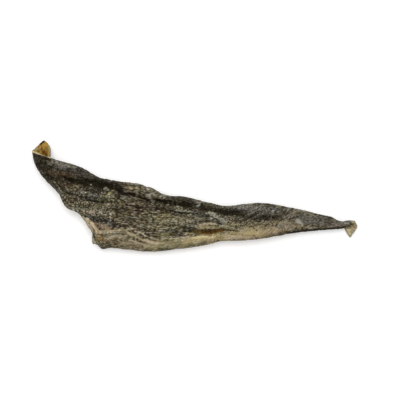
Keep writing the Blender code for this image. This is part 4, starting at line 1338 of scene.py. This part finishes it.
@dataclass(frozen=True)
class DriedFinish:
    """Finish of a dried surface: its own tints, fine specks and cells, and a dull sheen.

    Grain and cell sizes are in metres and the roughness runs between two values. Tints are kept
    as on the screen, where specks are added to them in equal steps, and a gamma then turns them
    into light, so that dark skin shows its specks as well as pale skin does.
    """

    name: str
    grain: Size
    cell: Size
    cell_turn: float
    speck_step: float
    cell_shade: Size
    roughness: Size
    bump_height: float
    bump_strength: float
    specular: float
    noise_detail: float = 3.0
    noise_roughness: float = 0.55
    noise_range: Size = (0.3, 0.7)
    cell_jitter: float = 0.75
    cell_range: Size = (0.1, 0.8)
    speck_hue: Triple = TONE_HUE
    lowest_share: Triple = (0.45, 0.45, 0.45)
    darkest: Triple = (0.045, 0.03, 0.0)
    gamma: float = 2.2

    def material(self) -> bpy.types.Material:
        """The finish as nodes: tint times cells, plus specks, and bumps of the same two patterns.

        Returns:
            The material.
        """
        nodes = NodeTree(self.name)
        tint = nodes.add("Attribute", "Color", {}, attribute_name="tint")
        strength = tint.node.outputs["Alpha"]
        sheet = nodes.add("UVMap", "UV", {}, uv_map="grain")
        noise = nodes.add("TexNoise", "Fac", {"Vector": nodes.scaled(sheet, self.grain), "Scale": 1.0,
                                              "Detail": self.noise_detail,
                                              "Roughness": self.noise_roughness})
        cells = nodes.add("TexVoronoi", "Distance",
                          {"Vector": nodes.scaled(sheet, self.cell, self.cell_turn), "Scale": 1.0,
                           "Randomness": self.cell_jitter}, feature="F1")
        even = nodes.ramp(noise, self.noise_range, (-self.speck_step, self.speck_step), clamp=False)
        specks = nodes.vector_math("MULTIPLY", nodes.math("MULTIPLY", even, strength), self.speck_hue)
        shade = nodes.ramp(cells, self.cell_range, self.cell_shade[::-1])
        domes = nodes.math("MULTIPLY_ADD", shade, strength, 1.0)
        mottled = nodes.vector_math("MULTIPLY_ADD", tint, domes, specks)
        lowest = nodes.vector_math("MULTIPLY_ADD", tint, self.lowest_share, self.darkest)
        deep = nodes.vector_math("MAXIMUM", mottled, lowest)
        relief = nodes.math("ADD", noise, domes)
        nodes.feed(nodes.shader, {
            "Base Color": nodes.add("Gamma", "Color", {"Color": deep, "Gamma": self.gamma}),
            "Roughness": nodes.ramp(noise, self.noise_range, self.roughness),
            "Normal": nodes.add("Bump", "Normal", {"Height": relief, "Distance": self.bump_height,
                                                   "Strength": self.bump_strength}),
            "Specular IOR Level": self.specular,
        })
        return nodes.material


SKIN_FINISH = DriedFinish(
    name="dried skin", grain=(0.0011, 0.0006), cell=(0.0015, 0.00135), cell_turn=SkinPattern.scale_turn,
    speck_step=0.29, cell_shade=(-0.25, 0.17), roughness=(0.55, 0.8),
    bump_height=0.00012, bump_strength=0.7, specular=0.07,
)
FLESH_FINISH = DriedFinish(
    name="dried flesh", grain=(0.0014, 0.0007), cell=(0.004, 0.0007), cell_turn=0.0,
    speck_step=0.09, cell_shade=(-0.1, 0.06), roughness=(0.5, 0.75),
    bump_height=0.00015, bump_strength=0.6, specular=0.1,
)


def grid_points(rows: int, columns: int) -> Array:
    """Numbers of the points of a grid with so many squares each way, row by row."""
    return np.arange((rows + 1) * (columns + 1)).reshape(rows + 1, columns + 1)


def grid_quads(points: Array) -> Array:
    """Corners of the squares of a grid of points, wound so that they face the skin side."""
    corners = (points[:-1, :-1], points[1:, :-1], points[1:, 1:], points[:-1, 1:])
    return np.stack(corners, axis=-1).reshape(-1, 4)


def grid_border(points: Array) -> Array:
    """Points of a grid's border, once round from its first corner."""
    return np.concatenate((points[:-1, 0], points[-1, :-1], points[:0:-1, -1], points[0, :0:-1]))


def add_object(name: str, data: bpy.types.ID) -> bpy.types.Object:
    """Link a new object to the scene.

    Args:
        name: the object's name.
        data: its mesh, lamp or camera.

    Returns:
        The object.
    """
    made = bpy.data.objects.new(name, data)
    bpy.context.scene.collection.objects.link(made)
    return made


@dataclass(frozen=True)
class DriedFillet:
    """The whole fillet: skin, flesh side and the rim between them, as one closed piece.

    The skin has rows by columns squares and the flesh side half as many each way. A ring of
    points between the two borders rounds the rim off.
    """

    name: str = "dried_fillet"
    sheet: Sheet = Sheet()
    skin: SkinPattern = SkinPattern()
    flesh: FleshPattern = FleshPattern()
    rows: int = 500
    columns: int = 156
    thickness: float = 2.0
    rim_share: float = 0.55
    rim_width: float = 2.5
    tail_share: Pairs = ((85, 1.0), (103, 0.72), (112, 0.6))
    rim_round: float = 0.3
    rim_ragged: float = 0.16
    rim_ragged_size: float = 0.9
    rim_tint: Tint = Tint.TAN

    def grid(self) -> SheetSample:
        """The sheet read on the skin's grid."""
        u, v = np.linspace(0, 1, self.rows + 1), np.linspace(-1, 1, self.columns + 1)
        return self.sheet.sample(*np.meshgrid(u, v, indexing="ij"))

    def from_rim(self, points: Array) -> Array:
        """Distance of each point from the nearer end of its grid line, along the first axis."""
        run = np.cumsum(np.linalg.norm(np.diff(points, axis=0, prepend=points[:1]), axis=-1), axis=0)
        return np.minimum(run, run[-1] - run)

    def depth(self, points: Array) -> Array:
        """Thickness of the sheet: it eases up from the rims and falls off along the tail.

        Args:
            points: the points of the skin's grid.

        Returns:
            The thickness at each point.
        """
        gap = np.minimum(self.from_rim(points), self.from_rim(points.transpose(1, 0, 2)).T)
        share = self.rim_share + (1 - self.rim_share) * ease(gap / self.rim_width)
        return self.thickness * share * np.interp(points[..., 0], *zip(*self.tail_share))

    def outward(self, points: Array) -> Array:
        """Directions in the sheet that lead out over its border: steps to it from the next row in.

        Args:
            points: the points of the skin's grid.

        Returns:
            A unit vector for each point of the border.
        """
        out = np.zeros_like(points)
        out[0] += points[0] - points[1]
        out[-1] += points[-1] - points[-2]
        out[:, 0] += points[:, 0] - points[:, 1]
        out[:, -1] += points[:, -1] - points[:, -2]
        return unit(grid_border(out))

    def rim(self, skin: Array, flesh: Array, points: Array) -> Array:
        """The ring of points between the borders of the skin and the flesh side.

        A ring point lies midway between the borders, pushed out by a share of the rim's own
        thickness and by a noise that leaves it ragged.

        Args:
            skin: the dressed points of the skin.
            flesh: the dressed points of the flesh side.
            points: the points of the skin's grid before its relief.

        Returns:
            The ring's points.
        """
        top, low = grid_border(skin), grid_border(flesh)
        base = np.empty_like(top)
        base[::2] = low
        base[1::2] = (low + np.roll(low, -1, axis=0)) / 2
        wall = np.linalg.norm(top - base, axis=-1)
        size = (self.rim_ragged_size, self.rim_ragged_size)
        ragged = self.skin.noise(top[:, 0], top[:, 1], size, Noise.RIM)
        push = self.rim_round * wall + self.rim_ragged * ragged
        return (top + base) / 2 + self.outward(points) * push[:, None]

    def faces(self) -> tuple[Array, ...]:
        """Faces of the whole piece, all facing outwards.

        The ring has a point for each point of the skin's border and two for each of the flesh's,
        so a square joins it to the skin and three triangles to each step of the flesh.

        Returns:
            The squares of the skin, of the flesh side and of the rim, and the rim's triangles.
        """
        skin = grid_points(self.rows, self.columns)
        top = grid_border(skin)
        ring = skin.size + np.arange(len(top))
        flesh = skin.size + len(top) + grid_points(self.rows // 2, self.columns // 2)
        low = grid_border(flesh)
        wall = np.stack((np.roll(top, -1), top, ring, np.roll(ring, -1)), axis=-1)
        even, odd, after = ring[::2], ring[1::2], np.roll(ring[::2], -1)
        low_after = np.roll(low, -1)
        fans = np.concatenate((np.stack((odd, even, low), axis=-1),
                               np.stack((odd, low, low_after), axis=-1),
                               np.stack((after, odd, low_after), axis=-1)))
        return grid_quads(skin), grid_quads(flesh)[:, ::-1], wall, fans

    def build(self) -> bpy.types.Object:
        """Make the piece, dress it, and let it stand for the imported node.

        Returns:
            The piece.
        """
        sample = self.grid()
        half = sample.halved
        normals = sample.normals
        relief, skin_colour = self.skin.dress(sample)
        grooves, flesh_colour = self.flesh.dress(half, self.skin)
        skin = sample.points + normals * relief[..., None]
        depth = self.depth(sample.points)[::2, ::2] - grooves
        flesh = half.points - normals[::2, ::2] * depth[..., None]
        ring = self.rim(skin, flesh, sample.points)
        ring_colour = np.broadcast_to((*self.rim_tint.screen, 1.0), (len(ring), 4))

        points = np.vstack((skin.reshape(-1, 3), ring, flesh.reshape(-1, 3)))
        points[:, 2] = np.maximum(points[:, 2], 0.0)
        colours = np.vstack((skin_colour.reshape(-1, 4), ring_colour, flesh_colour.reshape(-1, 4)))
        lanes = self.skin.grain_map(*sample.flat)
        chart = np.vstack((lanes.reshape(-1, 2), grid_border(lanes), half.unrolled.reshape(-1, 2)))
        piece = self.mesh(points * MM, colours, chart * MM)
        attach(piece, BODY)
        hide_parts(NODE)
        return piece

    def mesh(self, points: Array, colours: Array, chart: Array) -> bpy.types.Object:
        """Put the piece into a mesh with its two finishes.

        Args:
            points: the points in metres, the skin's first, then the ring's and the flesh side's.
            colours: each point's tint and strength of specks.
            chart: each point's place on the map of the grain.

        Returns:
            The piece.
        """
        parts = self.faces()
        mesh = bpy.data.meshes.new(self.name)
        mesh.from_pydata(points.tolist(), [], [face for part in parts for face in part.tolist()])
        of_flesh = np.arange(len(mesh.polygons)) >= len(parts[0])
        mesh.polygons.foreach_set("material_index", of_flesh.astype(np.int32))
        mesh.polygons.foreach_set("use_smooth", np.ones(len(mesh.polygons), bool))
        tint = mesh.attributes.new("tint", "FLOAT_COLOR", "POINT")
        tint.data.foreach_set("color", colours.astype(np.float32).ravel())
        corners = np.empty(len(mesh.loops), np.int32)
        mesh.loops.foreach_get("vertex_index", corners)
        grain = mesh.uv_layers.new(name="grain")
        grain.uv.foreach_set("vector", chart[corners].astype(np.float32).ravel())
        mesh.materials.append(SKIN_FINISH.material())
        mesh.materials.append(FLESH_FINISH.material())
        mesh.update()
        return add_object(self.name, mesh)


@dataclass(frozen=True)
class Studio:
    """A wide pale floor, a pale even sky, one soft lamp and the camera straight above."""

    floor_size: float = 6.0
    floor_light: float = 0.95
    floor_roughness: float = 0.9
    floor_specular: float = 0.1
    floor_glow: float = 0.15
    sky_strength: float = 0.88
    lamp_place: Triple = (-0.15, 0.6, 1.35)
    lamp_size: float = 1.0
    lamp_power: float = 9.0
    middle: Size = (0.0035, -0.002975)
    picture_width: float = 0.28
    lens: float = 250.0
    film: float = 36.0
    focus_height: float = 0.006

    def floor(self) -> bpy.types.Object:
        """The floor, a square just under the fillet.

        Returns:
            The floor.
        """
        half = self.floor_size / 2
        corners = [(-half, -half, 0), (half, -half, 0), (half, half, 0), (-half, half, 0)]
        mesh = bpy.data.meshes.new("studio_floor")
        mesh.from_pydata(corners, [], [(0, 1, 2, 3)])
        nodes = NodeTree("pale floor")
        nodes.feed(nodes.shader, {
            "Base Color": (self.floor_light, self.floor_light, self.floor_light, 1.0),
            "Roughness": self.floor_roughness,
            "Specular IOR Level": self.floor_specular,
            "Emission Color": WHITE,
            "Emission Strength": self.floor_glow,
        })
        mesh.materials.append(nodes.material)
        floor = add_object("studio_floor", mesh)
        return floor

    def light(self) -> None:
        """An even sky and a soft square lamp that looks at the fillet."""
        world = bpy.data.worlds.new("studio sky")
        world.use_nodes = True
        sky = world.node_tree.nodes["Background"].inputs
        sky["Color"].default_value = WHITE
        sky["Strength"].default_value = self.sky_strength
        bpy.context.scene.world = world
        lamp = bpy.data.lights.new("soft lamp", "AREA")
        lamp.size = self.lamp_size
        lamp.energy = self.lamp_power
        holder = add_object("soft lamp", lamp)
        holder.location = self.lamp_place
        holder.rotation_euler = Vector(self.lamp_place).to_track_quat("Z", "Y").to_euler()

    def camera(self) -> None:
        """A long lens straight above, as far off as frames the picture's width."""
        camera = bpy.data.cameras.new("camera")
        camera.lens = self.lens
        camera.sensor_width = self.film
        holder = add_object("camera", camera)
        distance = self.picture_width * self.lens / self.film
        holder.location = (*self.middle, self.focus_height + distance)
        bpy.context.scene.camera = holder

    def build(self) -> bpy.types.Object:
        """Set the whole studio up, with colours shown as they are.

        Returns:
            The floor.
        """
        bpy.context.scene.view_settings.view_transform = "Standard"
        floor = self.floor()
        self.light()
        self.camera()
        return floor


def main() -> None:
    """Set up the studio, build the fillet, and report both."""
    logging.basicConfig(level=logging.INFO, format="%(name)s: %(message)s")
    for piece in (Studio().build(), DriedFillet().build()):
        mesh = piece.data
        LOG.info("%s: %d points, %d faces", piece.name, len(mesh.vertices), len(mesh.polygons))


if __name__ == "__main__":
    main()
